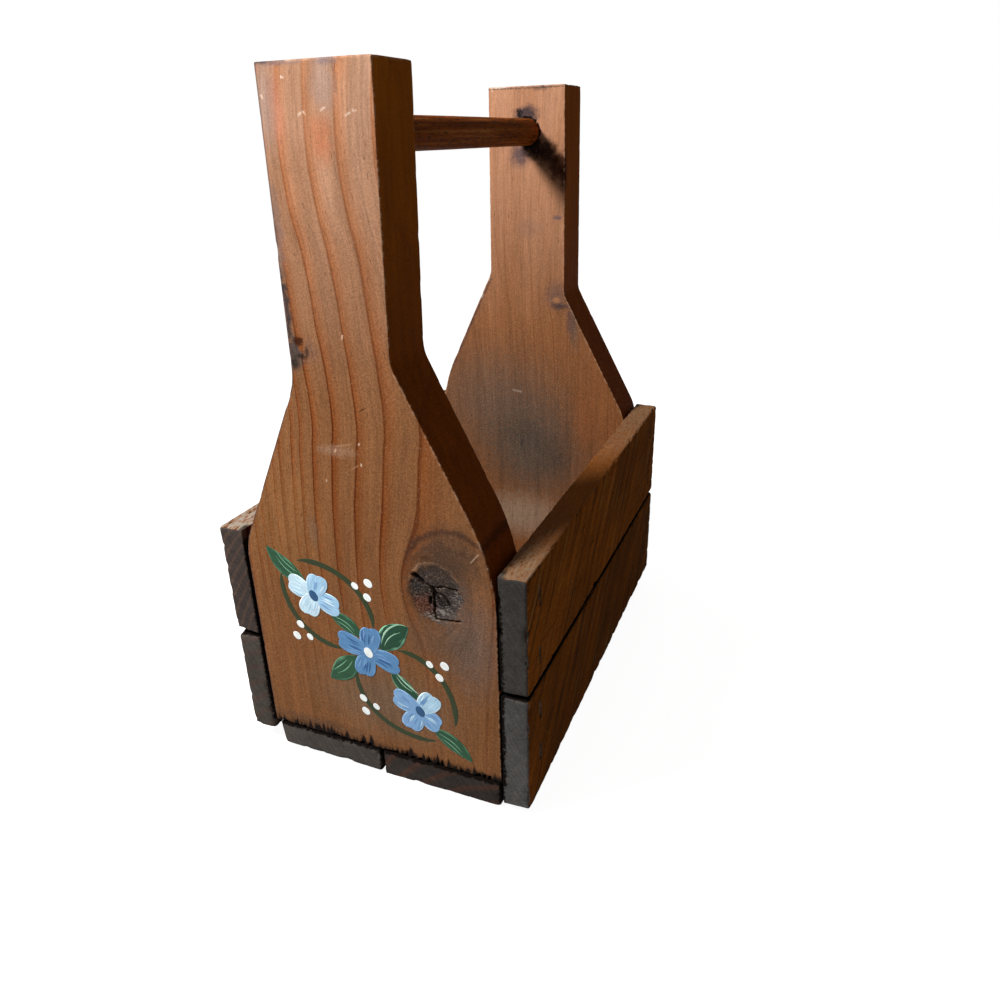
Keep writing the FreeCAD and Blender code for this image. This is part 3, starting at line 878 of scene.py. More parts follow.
def sawn_lath(node, finish, seed):
    """Softwood lath off the saw under a dark stain: torn fibres and slanting saw marks that
    catch the light, a dusty top edge, and cut ends gone to charcoal with rings across them."""
    end_hex, band_hex, band_pitch, heart, top_dust, _ = SLAT_LOOKS[node]
    dust_hex, dust_scale, dust_from, dust_to, gap_from, gap_most = TOP_DUST[node.split("_")[0]]
    low, high = (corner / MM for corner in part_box(node))
    material, tree, shader = new_material("sawn_lath_" + node)
    place, (x, y, z) = measured_place(tree)
    fibre = stretched_noise(tree, place, (1, 0.06, 1), 1.3, seed, 4.0)
    speck = add(tree, NOISE, place, 1.7, 4.0)
    broad = stretched_noise(tree, place, (1, 0.5, 1), 0.06, seed + 4, 3.0)
    wide_face = facing(tree, 2 if "floor" in node else 0)

    # Saw marks cross the wide faces on a slant, from the rear top to the front foot: soft light
    # and dark bands, with a few thin dark lines and some pale scuffs
    across = add(tree, DOT, place, SAW_SLANT)
    down = add(tree, DOT, place, (0, -SAW_SLANT[2], SAW_SLANT[1]))
    bent = add(tree, TIMES_PLUS, broad, 5.0, across)
    sawn = add(tree, COMBINE, bent, down)
    saw = stretched_noise(tree, sawn, (1, 0.035, 1), 0.42, seed + 6, 5.0)
    scored = stretched_noise(tree, sawn, (1, 0.05, 1), 0.7, seed + 9, 1.0, (0.62, 0.7, 0, 0.75))
    scored = add(tree, TIMES, scored, wide_face)
    scuffed = stretched_noise(tree, sawn, (1, 0.07, 1), 0.5, seed + 12, 3.0, (0.58, 0.72, 0, 0.45))
    scuffed = add(tree, TIMES, scuffed, wide_face)

    long_face = add(tree, RAMP, fibre, stops=[(0.24, "#3A1D08"), (0.4, finish.slat),
                                              (0.62, finish.slat), (0.8, "#946022")])
    saw_tone = add(tree, RANGE, saw, 0.3, 0.7, 0.45, 1.45)
    tone = add(tree, BLEND, wide_face, 1.0, saw_tone)
    shade = 0.72 if "lower" in node else 1.0
    tone = varied(tree, tone, (speck, 0.7, 1.35), (broad, 0.75 * shade, 1.2 * shade))
    colour = add(tree, SCALE, long_face, tone)
    colour = add(tree, MIX, scuffed, colour, "#8E6F3E")
    colour = add(tree, MIX, scored, colour, "#190D06")

    # Dust and raw fibre on the top edge, most of it near both ends, with dark gaps between
    ends_dust = curve_through(tree, add(tree, PLUS, y, 80.0), 160.0,
                              ((0, 1.0), (14, 0.9), (26, 0.45), (36, 0.28), (50, 0.2), (80, 0.2),
                               (94, 0.36), (107, 0.55), (130, 0.75), (160, 0.95)), 0.0, 1.0)
    raw = stretched_noise(tree, place, (1, 0.4, 1), dust_scale, seed + 1, 6.0)
    dust = add(tree, RANGE, raw, dust_from, dust_to, 0.2)
    top = facing(tree, 2, False)
    for share in (top, ends_dust, top_dust):
        dust = add(tree, TIMES, dust, share)
    gaps = add(tree, RANGE, raw, gap_from, 0.36, 0, gap_most)
    gaps = add(tree, TIMES, gaps, ends_dust)
    gaps = add(tree, TIMES, gaps, top)
    colour = add(tree, MIX, dust, colour, dust_hex)
    colour = add(tree, MIX, gaps, colour, "#221710")

    # Cut ends: growth rings about a distant heart, crossed by fine saw scratches
    heart = ((low.x + high.x) / 2 + heart[0], 0, (low.z + high.z) / 2 + heart[1])
    away = add(tree, AWAY, place, heart)
    away = add(tree, STRETCH, away, (1, 0, 1))
    radius = add(tree, LENGTH, away)
    radius = add(tree, TIMES_PLUS, broad, 4.0, radius)
    ring = add(tree, TIMES, radius, 1 / band_pitch)
    ring = add(tree, FRACTION, ring)
    end_colour = add(tree, RAMP, ring, stops=[(0.0, end_hex), (0.5, end_hex), (0.72, band_hex),
                                              (0.84, band_hex), (1.0, end_hex)])
    turned = add(tree, "ShaderNodeMapping", {"Vector": place,
                                             "Rotation": (0, math.radians(-58), 0)})
    scratch = stretched_noise(tree, turned, (0.06, 1, 1.0), 3.2, seed + 8, 3.0)
    scratched = add(tree, RANGE, scratch, 0.3, 0.7, 0.75, 1.25)
    scratched = varied(tree, scratched, (speck, 0.85, 1.15), (broad, 0.8, 1.2))
    end_colour = add(tree, SCALE, end_colour, scratched)
    ends = facing(tree, 1)

    # The ends are black on the side against the boards: dirt and painted shade in the seam
    inner, inward = (low.x, 1) if node.startswith("right") else (high.x, -1)
    end_seam_dirt_and_shade = add(tree, ABSOLUTE, y)
    end_seam_colour = add(tree, RANGE, end_seam_dirt_and_shade, 75.5, 76.6)
    end_seam_colour = add(tree, MIX, end_seam_colour, "#17110D", end_hex)
    end_seam_dirt_and_shade = add(tree, RANGE, end_seam_dirt_and_shade, 73.0, 75.0, 0, 0.9)
    inner = add(tree, RANGE, x, inner + 2.4 * inward, inner + 1.2 * inward)
    end_seam_dirt_and_shade = add(tree, TIMES, end_seam_dirt_and_shade, inner)
    colour = add(tree, MIX, end_seam_dirt_and_shade, colour, end_seam_colour)
    if "upper" not in node:
        # Lower and floor slats are black along their feet, and lower ones on top, in the seam: dirt
        # and painted shade
        foot_dirt_and_shade = add(tree, RANGE, z, low.z + 1, low.z + 3, 0.85, 0.0)
        if "lower" in node:
            foot_dirt_and_shade = add(tree, MAXIMUM, foot_dirt_and_shade, top)
        colour = add(tree, MIX, foot_dirt_and_shade, colour, "#17110D")
    colour = add(tree, MIX, ends, colour, end_colour)

    # Raw wood where the arrises are broken away
    colour, _ = bare_arrises(tree, place, colour, 0.9, (0.54, 0.7), (0.7, 1, 0, 0.55), "#8A7462")
    # Dirt and painted shade in the seams, and black cracks
    colour = seam_dirt_shade_and_cracks(tree, place, colour, "#0F0B09")
    saw_height = add(tree, TIMES, saw, wide_face)
    height = add(tree, TIMES_PLUS, saw_height, 0.8, fibre)
    height = add(tree, TIMES_PLUS, raw, dust, height)
    height = add(tree, TIMES_PLUS, scratch, ends, height)
    fill(tree, shader, {"Base Color": colour, "Roughness": 0.85, "Specular IOR Level": 0.02,
                        "Normal": add(tree, BUMP, 0.6, 0.25 * MM, height)})
    return material


def stained_rod(finish, seed):
    """Ramin dowel, sanded and stained: fine dark pores in short dashes along a warm rod."""
    material, tree, shader = new_material("stained_ramin_dowel")
    place = measured_place(tree)[0]
    streak = stretched_noise(tree, place, (1, 0.03, 1), 0.9, seed, 3.0)
    pores = stretched_noise(tree, place, (1, 0.14, 1), 2.2, seed + 1, span=(0.52, 0.64))
    tone = add(tree, RAMP, streak, stops=[(0.3, "#5A2C10"), (0.5, finish.dowel),
                                          (0.72, "#A0602C")])
    dark = add(tree, TIMES, pores, 0.7)
    colour = add(tree, MIX, dark, tone, "#2A160B")
    fill(tree, shader, {"Base Color": colour, "Roughness": 0.55, "Specular IOR Level": 0.02,
                        "Normal": add(tree, BUMP, 0.5, 0.1 * MM, pores, invert=True)})
    return material


def tarnished_wire(finish):
    """Steel staple wire gone dull and brown: dark metal with freckles of rust."""
    material, tree, shader = new_material("tarnished_staple_wire")
    place = measured_place(tree)[0]
    rust = add(tree, NOISE, place, 1.3, 4.0)
    rust = add(tree, RANGE, rust, 0.42, 0.6)
    colour = add(tree, MIX, rust, finish.steel, "#2A1A12")
    fill(tree, shader, {"Base Color": colour, "Metallic": 1.0,
                        "Roughness": add(tree, RANGE, rust, 0, 1, 0.65, 0.95)})
    return material


def craft_paint():
    """Acrylic craft paint laid on with a small brush: the bristles leave lighter and darker
    streaks along each stroke, and the second colour on the brush shows at the stroke's rim."""
    material, tree, shader = new_material("brushed_acrylic_paint")
    body, rim = (add(tree, ATTRIBUTE, attribute_name=key).outputs["Color"]
                 for key in ("paint", "rim"))
    across, along, stroke = (add(tree, ATTRIBUTE, attribute_name=key).outputs["Fac"]
                             for key in ("across", "along", "stroke"))
    bristles = add(tree, COMBINE, across, along, stroke)
    streak = stretched_noise(tree, bristles, (4.5, 0.28, 13.0), 1.0, 2.0, 3.0)
    edge = add(tree, ABSOLUTE, across)
    edge = add(tree, TIMES_PLUS, streak, 1.1, edge)
    edge = add(tree, RANGE, edge, 1.3, 1.6, 0, 0.9)
    colour = add(tree, MIX, edge, body, rim)
    tone = add(tree, RANGE, streak, 0.3, 0.7, 0.76, 1.18)
    colour = add(tree, SCALE, colour, tone)
    fill(tree, shader, {"Base Color": colour, "Roughness": 0.5, "Specular IOR Level": 0.12,
                        "Normal": add(tree, BUMP, 0.3, 0.03 * MM, streak)})
    return material


def foot_tears(x, low_x, high_x, foot, z, seed, count=40):
    """How deep each point lies in the splinters that the saw tore from a board's foot. They are
    taller towards high_x."""
    chance = np.random.default_rng(seed)
    cover = np.zeros(x.shape)
    for _ in range(count):
        share = chance.random() ** 0.6
        middle = low_x + share * (high_x - low_x)
        width = chance.uniform(0.3, 0.75) * MM
        height = (0.5 + (1.2 + 2.6 * share) * chance.random() ** 2) * MM
        rise = np.clip((z - foot) / height, 0, 1)
        inside = 1 - np.abs(x - middle) / (width * (1.05 - rise))
        cover = np.maximum(cover, np.where(z - foot < height, np.clip(inside * 2, 0, 1), 0))
    return cover


def make_end_board(node, timber, finish):
    """Build one end board's skin, with its knots, cracks and torn foot, and finish it."""
    low, high = (np.array(corner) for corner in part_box(node))
    front = node.startswith("front")
    face_recess = 0.3 * MM if front else 0.0
    low[1] += face_recess
    look = BOARD_LOOKS[node]
    fine_z = [(low[2], low[2] + 4 * MM, 0.5 * MM)]
    fine_x = []
    if look["heart"]:
        kx, kz, across, up = look["heart"]
        fine_x = [((kx - across) * MM, (kx + across) * MM, 0.24 * MM)]
        fine_z += [((kz - up) * MM, (kz + up) * MM, 0.28 * MM)]
    lines = (
        rising_lines(low[0], high[0], timber.grid_step, fine_x),
        rising_lines(low[1], high[1], 1.5 * timber.grid_step),
        rising_lines(low[2], high[2], 1.3 * timber.grid_step, fine_z),
    )
    places, quads = box_skin(lines)
    arris_width, seam_width = 1.6 * MM, 0.9 * MM
    near = arris_nearness(places, low, high, arris_width)
    shift = rounded_shift(places, low, high, timber.arris_radius)
    points = places + shift
    probe = low[1] + 3 * MM if front else high[1] - 3 * MM
    points[:, 0] = shift[:, 0] + follow_outline(
        node, places, (low, high), axis=0, along=2, probe=probe, inset=0.05 * MM, count=260,
        margin=2 * MM)
    x, z = points[:, 0] / MM, points[:, 2] / MM
    pit = np.zeros(len(points))
    crack = np.zeros(len(points))
    shown = points[:, 1] < low[1] + 2 * MM
    if look["heart"]:
        kx, kz, across, up = look["heart"]
        reach = np.hypot((x - kx) / across, (z - kz) / up)
        pit += np.clip((1.05 - reach) * 5, 0, 1) * KNOT_SINK * shown
        for path, width in KNOT_CRACKS:
            away = distance_to_path(x - kx, z - kz, path)
            gape = np.clip(1.7 - away / width, 0, 1) * shown
            crack = np.maximum(crack, gape)
    tears = foot_tears(points[:, 0], low[0], high[0], low[2], points[:, 2], timber.seed)
    crack = np.maximum(crack, tears * shown) if front else crack
    pit += crack * CRACK_DEPTH
    board = new_piece(node.replace("end_board", "board_timber"), points, quads,
                      {"arris": near, "pit": pit, "crack": crack,
                       "dirt": seam_dirt_and_shade(points, node, seam_width)})
    material = stained_pine("stained_pine_" + node.split("_")[0], node, finish,
                            float(timber.seed + (0 if front else 40)))
    weather(board, material, timber.seed, {
        "Hollow Depth": 0.05 * MM, "Fibre Depth": 0.05 * MM, "Fibre Stretch": (1100, 1100, 60),
        "Chip Depth": 0.22 * MM})
    take_over(board, node)


def staple_slots(node, crown_axis):
    """The spans of a slat's staple slots along Y and along the crowns, read from the staples."""
    crown = 6.4 * MM
    clear = 0.15 * MM
    slots = []
    for end in ("front", "rear"):
        low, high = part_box(node + "_" + end + "_staples")
        for start in (low[crown_axis], high[crown_axis] - crown):
            slots.append(((low[1] - clear, high[1] + clear),
                          (start - clear, start + crown + clear)))
    return slots


def make_slat(node, timber, material, radii, face_axis):
    """Build one slat's skin with its rounded edges and staple slots, and finish it.

    radii are the roundings of its four long edges: low X low Z, high X low Z, high X high Z
    and low X high Z. Its wide faces look along face_axis.
    """
    low, high = (np.array(corner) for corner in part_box(node))
    crown_axis = 2 - face_axis
    outer_low = face_axis == 2 or low[0] + high[0] < 0
    slots = staple_slots(node, crown_axis)
    wall, sink, arris_width, seam_width = 0.05 * MM, 1.0 * MM, 2.2 * MM, 2.4 * MM
    marks_y = sorted({round(v, 7) for (a, b), _ in slots for v in (a, a + wall, b - wall, b)})
    marks_c = sorted({round(v, 7) for _, (a, b) in slots for v in (a, a + wall, b - wall, b)})
    step = timber.slat_step
    lines = [None, rising_lines(low[1], high[1], 1.5 * step, marks=marks_y), None]
    lines[crown_axis] = rising_lines(low[crown_axis], high[crown_axis], 0.85 * step,
                                     marks=marks_c)
    lines[face_axis] = rising_lines(low[face_axis], high[face_axis], step)
    places, quads = box_skin(lines)
    share = (places - low) / (high - low)
    sx, sz = share[:, 0], share[:, 2]
    radius = ((1 - sx) * (1 - sz) * radii[0] + sx * (1 - sz) * radii[1]
              + sx * sz * radii[2] + (1 - sx) * sz * radii[3])
    near = arris_nearness(places, low, high, arris_width)
    shift = rounded_shift(places, low, high, radius)
    points = places + shift
    if face_axis == 0:
        points[:, 2] = shift[:, 2] + follow_outline(
            node, places, (low, high), axis=2, along=1, probe=(low[0] + high[0]) / 2,
            inset=3 * MM, count=40, margin=3 * MM)
    crack = np.zeros(len(points))
    pit = np.zeros(len(points))
    outer = places[:, face_axis] == (low if outer_low else high)[face_axis]
    for (y0, y1), (c0, c1) in slots:
        inside = ((places[:, 1] > y0 + wall / 2) & (places[:, 1] < y1 - wall / 2)
                  & (places[:, crown_axis] > c0 + wall / 2)
                  & (places[:, crown_axis] < c1 - wall / 2) & outer)
        pit[inside] = sink
        crack[inside] = 1
    slat = new_piece(node + "_timber", points, quads,
                     {"arris": near, "pit": pit, "crack": crack,
                      "dirt": seam_dirt_and_shade(points, node, seam_width)})
    turn = 2 * math.pi / timber.saw_pitch
    weather(slat, material, timber.seed + len(node), {
        "Hollow Depth": 0.18 * MM, "Fibre Depth": timber.fibre_depth,
        "Fibre Stretch": (800, 45, 800), "Saw Depth": timber.saw_depth,
        "Saw Direction": [turn * part for part in SAW_SLANT], "Chip Depth": timber.chip_depth})
    take_over(slat, node)


# The spray's parts, in millimetres along its line and across it, or as shares. A flower is its
# place in flower pitches, the heading, length and look of each petal, and the centre's look. A
# leaf is its two ends, half width, bow and look, and a vine is its start and how far across it
# starts, its end and the same there, and its bulge. A dot group is its place and its turn.
FLOWERS = (
    (-1, ((157, 0.86, "white"), (-20, 0.86, "pale"), (246, 0.72, "white"), (69, 0.72, "pale")),
     "deep"),
    (0, ((-15, 1.0, "blue"), (79, 0.85, "blue"), (254, 0.85, "blue"), (164, 1.0, "blue")),
     "dot"),
    (1, ((-35, 0.72, "sky"), (52, 0.8, "frost"), (240, 0.8, "sky"), (156, 0.9, "sky")), "deep"),
)
LEAVES = (
    ((-28.6, 0.6), (-45.2, -1.2), 3.2, 1.2, "leaf"), ((-16.8, -0.9), (-4.6, 2.3), 2.7, 0.8, "leaf"),
    ((9.0, 1.8), (21.0, 2.6), 2.6, -0.9, "mint"), ((31.0, -2.0), (46.6, 0.9), 2.8, 0.8, "leaf"),
    ((1.8, 4.6), (1.6, 19.2), 4.1, 0.9, "mint"), ((-1.6, -5.0), (-1.4, -20.3), 3.9, 0.8, "leaf"),
)
VINES = (
    (-4.8, 8.2, -35.4, 4.1, 7.6), (-6.2, -6.9, -36.2, -4.2, -7.4),
    (5.2, 9.6, 34.3, 5.6, 7.2), (2.4, -9.4, 34.8, -4.4, -8.6),
)
DOT_GROUPS = ((-15.6, 16.4, 96), (-18.2, -15.6, 262), (16.9, 16.6, 82), (13.1, -16.1, 290))
# Body and rim of each stroke
PAINTS = {
    "white": ("#C9E4F4", "#F2FBFF"), "pale": ("#A4CCEA", "#D6EEFA"),
    "frost": ("#AED2EA", "#E6F6FD"), "haze": ("#6F99C6", "#8FB4D8"),
    "blue": ("#5B88B6", "#82AAD2"), "sky": ("#80A8D4", "#AACBE6"),
    "deep": ("#31577F", "#3D6690"), "shade": ("#3A6392", "#4A75A4"),
    "leaf": ("#274E36", "#5A8A6C"), "mint": ("#1E4430", "#86BE9C"),
    "light": ("#A6CFB2", "#C4E2CC"), "vein": ("#7AAC8C", "#8FBC9E"), "vine": ("#2F3820", "#3B4329"),
    "dot": ("#F6FBFA", "#FFFFFF"),
}
# The two paints drawn over each petal's own
PETAL_MARKS = {
    "white": ("frost", "white"), "frost": ("haze", "white"), "pale": ("sky", "white"),
    "sky": ("haze", "frost"), "blue": ("shade", "haze"),
}


def petal_shape(share):
    """Half widths along a petal, from its root to its round tip, as shares."""
    return (0.55 + 0.45 * share ** 0.9) * np.sqrt(np.maximum(0, 1 - share ** 4))


def leaf_shape(share):
    """Half widths along a leaf, widest just before its middle."""
    return np.sin(math.pi * share) ** 0.75 * (1.12 - 0.24 * share)


def round_shape(share):
    """Half widths along a round dab."""
    return np.sqrt(np.maximum(0, 1 - (2 * share - 1) ** 2))


def vine_shape(share):
    """Half widths along a vine, tapered at both ends."""
    return np.minimum(1, 9 * np.minimum(share, 1 - share)) ** 0.5


def brush_stroke(start, end, half_width, shape, paint, layer, bow=0.0, count=28, finest=0.02):
    """One stroke: its centre line, half widths, the name of its paint and its layer."""
    start, end = np.array(start, float), np.array(end, float)
    share = np.linspace(0, 1, count)[:, None]
    run = end - start
    across = np.array((-run[1], run[0])) / np.linalg.norm(run)
    line = start + share * run + bow * 4 * share * (1 - share) * across
    return line, np.maximum(half_width * shape(share[:, 0]), finest), paint, layer


def flower_strokes(spray):
    """Petals from the centre outwards, with darker or lighter marks drawn over each."""
    chance = np.random.default_rng(spray.seed)
    strokes = []
    longest = spray.petal / MM
    for place, petals, centre in FLOWERS:
        middle = np.array((place * spray.pitch / MM, -0.8 * abs(place)))
        for count, (heading, length, paint) in enumerate(petals):
            angle = math.radians(heading) - spray.slant
            out = np.array((math.cos(angle), math.sin(angle)))
            side = np.array((-out[1], out[0]))
            reach = length * longest
            width = 4.3 + 1.2 * (1 - length)
            # Two strokes side by side leave a notch at the petal's tip
            for lobe, (sway, share) in enumerate(((0.11, 0.93), (-0.12, 1.0))):
                end_seam_colour = middle + reach * share * (out + sway * side)
                strokes.append(brush_stroke(middle + 0.3 * out, end_seam_colour, 0.74 * width, petal_shape,
                                            paint, 3 + 0.3 * count + 0.14 * lobe,
                                            bow=0.5 * (1 - 2 * lobe)))
            for number in range(5):
                lean = chance.uniform(-0.5, 0.5) * width
                start = middle + reach * chance.uniform(0.2, 0.4) * out + side * lean
                end = start + reach * chance.uniform(0.3, 0.48) * out + side * lean * 0.3
                strokes.append(brush_stroke(start, end, chance.uniform(0.2, 0.5), leaf_shape,
                                            PETAL_MARKS[paint][number % 2], 4.6,
                                            bow=chance.uniform(-0.3, 0.5)))
        run = np.array((1.0, -0.35)) / math.hypot(1.0, 0.35)
        half = 2.0 if centre == "deep" else 1.9
        strokes.append(brush_stroke(middle - half * run, middle + half * run, 1.45, round_shape,
                                    centre, 5.6))
    return strokes


def leaf_strokes():
    """Leaves, each with one light stroke along its side and thin veins."""
    strokes = []
    for count, (start, end, half_width, bow, paint) in enumerate(LEAVES):
        layer = 1.6 + 0.1 * count
        strokes.append(brush_stroke(start, end, half_width, leaf_shape, paint, layer, bow))
        start, end = np.array(start), np.array(end)
        run = end - start
        side = np.array((-run[1], run[0])) / np.linalg.norm(run) * half_width
        veins = ((0.7, 0.15, 0.9, 0.3), (0.1, 0.15, 0.75, 0.16), (-0.5, 0.25, 0.8, 0.16))
        for lean, first, last, width in veins[:2] if paint == "mint" else veins[1:]:
            strokes.append(brush_stroke(start + first * run + 0.5 * lean * side,
                                        start + last * run + 0.75 * lean * side, width,
                                        leaf_shape, "light" if paint == "mint" else "vein",
                                        layer + 0.9, bow + lean * 0.25 * half_width))
    return strokes


def vine_strokes(spray):
    """Bowed vines between the flowers, and white dots in threes."""
    strokes = []
    for start, first, end, last, bulge in VINES:
        share = np.linspace(0, 1, 60)
        rise = (4 * share * (1 - share)) ** 0.8
        line = np.stack((start + (end - start) * share,
                         first + (last - first) * share + bulge * rise), 1)
        strokes.append((line, spray.vine / MM / 2 * np.maximum(vine_shape(share), 0.05),
                        "vine", 0.6))
    half, ring = spray.dot / MM / 2, 2.9
    for along, across, turn in DOT_GROUPS:
        for count, share in enumerate((1.0, 0.82, 0.92)):
            angle = math.radians(turn + 120 * count)
            middle = np.array((along + ring * math.cos(angle), across + ring * math.sin(angle)))
            size = half * share
            strokes.append(brush_stroke(middle - (size * 1.1, 0), middle + (size * 1.1, 0),
                                        size * 0.9, round_shape, "dot", 2.6))
    return strokes


def spray_lines(spray):
    """All strokes as one mesh of open lines in front of the board, with their attributes."""
    turn = np.array(((math.cos(spray.slant), -math.sin(spray.slant)),
                     (math.sin(spray.slant), math.cos(spray.slant))))
    points, edges = [], []
    values = {"half_width": [], "along": [], "stroke": [], "layer": [], "paint": [], "rim": []}
    strokes = vine_strokes(spray) + leaf_strokes() + flower_strokes(spray)
    for number, (line, widths, paint, layer) in enumerate(strokes):
        first, count = len(points), len(line)
        flat = line @ turn.T * MM
        points += [(spray.centre_x + x, 0.0, spray.centre_z + z) for x, z in flat]
        edges += [(first + step, first + step + 1) for step in range(count - 1)]
        run = np.linalg.norm(line - line[0], axis=1)
        body, rim = (linear(colour) for colour in PAINTS[paint])
        values["half_width"] += list(widths * MM)
        values["along"] += list(run)
        values["stroke"] += [float(number)] * count
        values["layer"] += [layer * spray.paint] * count
        values["paint"] += [(*body, 1)] * count
        values["rim"] += [(*rim, 1)] * count
    mesh = bpy.data.meshes.new("painted_spray")
    mesh.from_pydata(points, edges, [])
    for key, data in values.items():
        if key in ("paint", "rim"):
            layer = mesh.attributes.new(key, "FLOAT_COLOR", "POINT")
            layer.data.foreach_set("color", np.array(data).ravel())
        else:
            mesh.attributes.new(key, "FLOAT", "POINT").data.foreach_set("value", data)
    return new_object("painted_spray", mesh)


def brushwork_group():
    """Turn stroke lines into thin pads of paint that lie on the board."""
    tree, given, result = new_group("Brushwork", {
        "Board": "Object", "Reach": "Float", "Thickness": "Float", "Finish": "Material"})
    curve = add(tree, "GeometryNodeMeshToCurve", {"Mesh": given.outputs["Geometry"]})
    profile = add(tree, "GeometryNodeCurvePrimitiveCircle", {"Resolution": 14, "Radius": 1.0})
    for key, source in (("centre", "Position"), ("heading", "Tangent")):
        curve = add(tree, STORE, {"Geometry": curve, "Name": key,
                                  "Value": add(tree, "GeometryNodeInput" + source)},
                    data_type="FLOAT_VECTOR")
    section = add(tree, STORE, {"Geometry": profile, "Name": "section",
                                "Value": add(tree, "GeometryNodeInputPosition")},
                  data_type="FLOAT_VECTOR")
    swept = add(tree, "GeometryNodeCurveToMesh",
                {"Curve": curve, "Profile Curve": section, "Fill Caps": True})
    named = {key: add(tree, NAMED, {"Name": key}, data_type=kind)
             for kind, keys in (("FLOAT_VECTOR", ("section", "centre", "heading")),
                                ("FLOAT", ("half_width", "layer"))) for key in keys}
    sides = add(tree, SEPARATE, named["section"])
    side = add(tree, CROSS, named["heading"], (0, 1, 0))
    reach = add(tree, TIMES, sides.outputs[0], named["half_width"])
    spread = add(tree, SCALE, side, reach)
    flat = add(tree, SUM, named["centre"], spread)
    before = add(tree, COMBINE, {1: given.outputs["Reach"]})
    start = add(tree, AWAY, flat, before)
    board = add(tree, "GeometryNodeObjectInfo", {"Object": given.outputs["Board"]})
    touch = add(tree, "GeometryNodeRaycast", {
        "Target Geometry": board.outputs["Geometry"], "Source Position": start,
        "Ray Direction": (0, 1, 0), "Ray Length": 1.0})
    raised = add(tree, TIMES_PLUS, sides.outputs[1], given.outputs["Thickness"], named["layer"])
    lift = add(tree, COMBINE, {1: raised})
    laid = add(tree, AWAY, touch.outputs["Hit Position"], lift)
    moved = add(tree, "GeometryNodeSetPosition", {"Geometry": swept, "Position": laid})
    across = add(tree, STORE, {"Geometry": moved, "Name": "across", "Value": sides.outputs[0]},
                 data_type="FLOAT")
    return end_group(tree, given, result, across)


class TOTE_OT_end_boards(bpy.types.Operator):
    """Build the two shouldered end boards."""
    bl_idname = "tote.end_boards"
    bl_label = "End boards"

    def execute(self, context):
        for node in BOARD_LOOKS:
            make_end_board(node, context.scene.tote_timber, context.scene.tote_finish)
        return {"FINISHED"}


class TOTE_OT_slats(bpy.types.Operator):
    """Build the four side slats and the two floor slats."""
    bl_idname = "tote.slats"
    bl_label = "Slats"

    def execute(self, context):
        timber, finish = context.scene.tote_timber, context.scene.tote_finish
        for count, node in enumerate(SIDE_SLATS + FLOOR_SLATS):
            worn, inner, outer = SLAT_LOOKS[node][-1] * MM, 0.5 * MM, 1.3 * MM
            floor = "floor" in node
            if floor:
                radii = (worn, outer, inner, inner)
            elif node.startswith("right"):
                radii = (inner, outer, outer, inner)
            else:
                radii = (outer, worn, inner, outer)
            material = sawn_lath(node, finish, float(count * 11 + 5))
            make_slat(node, timber, material, radii, 2 if floor else 0)
        return {"FINISHED"}


class TOTE_OT_spray(bpy.types.Operator):
    """Paint the spray of flowers on the front board."""
    bl_idname = "tote.spray"
    bl_label = "Painted spray"

    def execute(self, context):
        spray = context.scene.tote_spray
        board = bpy.data.objects.get("front_board_timber")
        if board is None:
            raise RuntimeError("The end boards have to be built before the spray")
        piece = spray_lines(spray)
        run_nodes(piece, brushwork_group(), {
            "Board": board, "Reach": 0.2, "Thickness": spray.paint, "Finish": craft_paint()})
        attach(piece, BODY)
        return {"FINISHED"}


class TOTE_OT_handle(bpy.types.Operator):
    """Build the dowel handle."""
    bl_idname = "tote.handle"
    bl_label = "Dowel handle"

    def execute(self, context):
        timber, finish = context.scene.tote_timber, context.scene.tote_finish
        low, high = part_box("handle_dowel")
        middle, radius = (low + high) / 2, (high.z - low.z) / 2
        around, rows, ease = 72, 150, 0.6 * MM
        rings = [(low.y, radius - ease)]
        rings += [(y, radius) for y in np.linspace(low.y + ease, high.y - ease, rows)]
        rings += [(high.y, radius - ease)]
        points = [(middle.x, low.y, middle.z)]
        for y, reach in rings:
            for turn in range(around):
                angle = 2 * math.pi * turn / around
                points.append((middle.x + reach * math.cos(angle), y,
                               middle.z + reach * math.sin(angle)))
        points.append((middle.x, high.y, middle.z))
        last = len(points) - 1
        faces = []
        for first in range(1, last - around, around):
            for turn in range(around):
                a, b = first + turn, first + (turn + 1) % around
                faces.append((a, a + around, b + around, b))
        for turn in range(around):
            after = (turn + 1) % around
            faces.append((0, 1 + turn, 1 + after))
            faces.append((last, last - around + after, last - around + turn))
        rod = bpy.data.meshes.new("dowel")
        rod.from_pydata(points, [], faces)
        for key in ("arris", "pit"):
            rod.attributes.new(key, "FLOAT", "POINT")
        piece = new_object("handle_dowel_rod", rod)
        weather(piece, stained_rod(finish, float(timber.seed)), timber.seed + 3, {
            "Hollow Depth": 0.12 * MM, "Fibre Depth": 0.05 * MM,
            "Fibre Stretch": (1400, 30, 1400)})
        take_over(piece, "handle_dowel")
        return {"FINISHED"}


class TOTE_OT_staples(bpy.types.Operator):
    """Finish the staples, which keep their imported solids."""
    bl_idname = "tote.staples"
    bl_label = "Staples"

    def execute(self, context):
        wire = tarnished_wire(context.scene.tote_finish)
        for name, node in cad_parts.items():
            if name.endswith("_staples"):
                node.data.materials.clear()
                node.data.materials.append(wire)
        return {"FINISHED"}


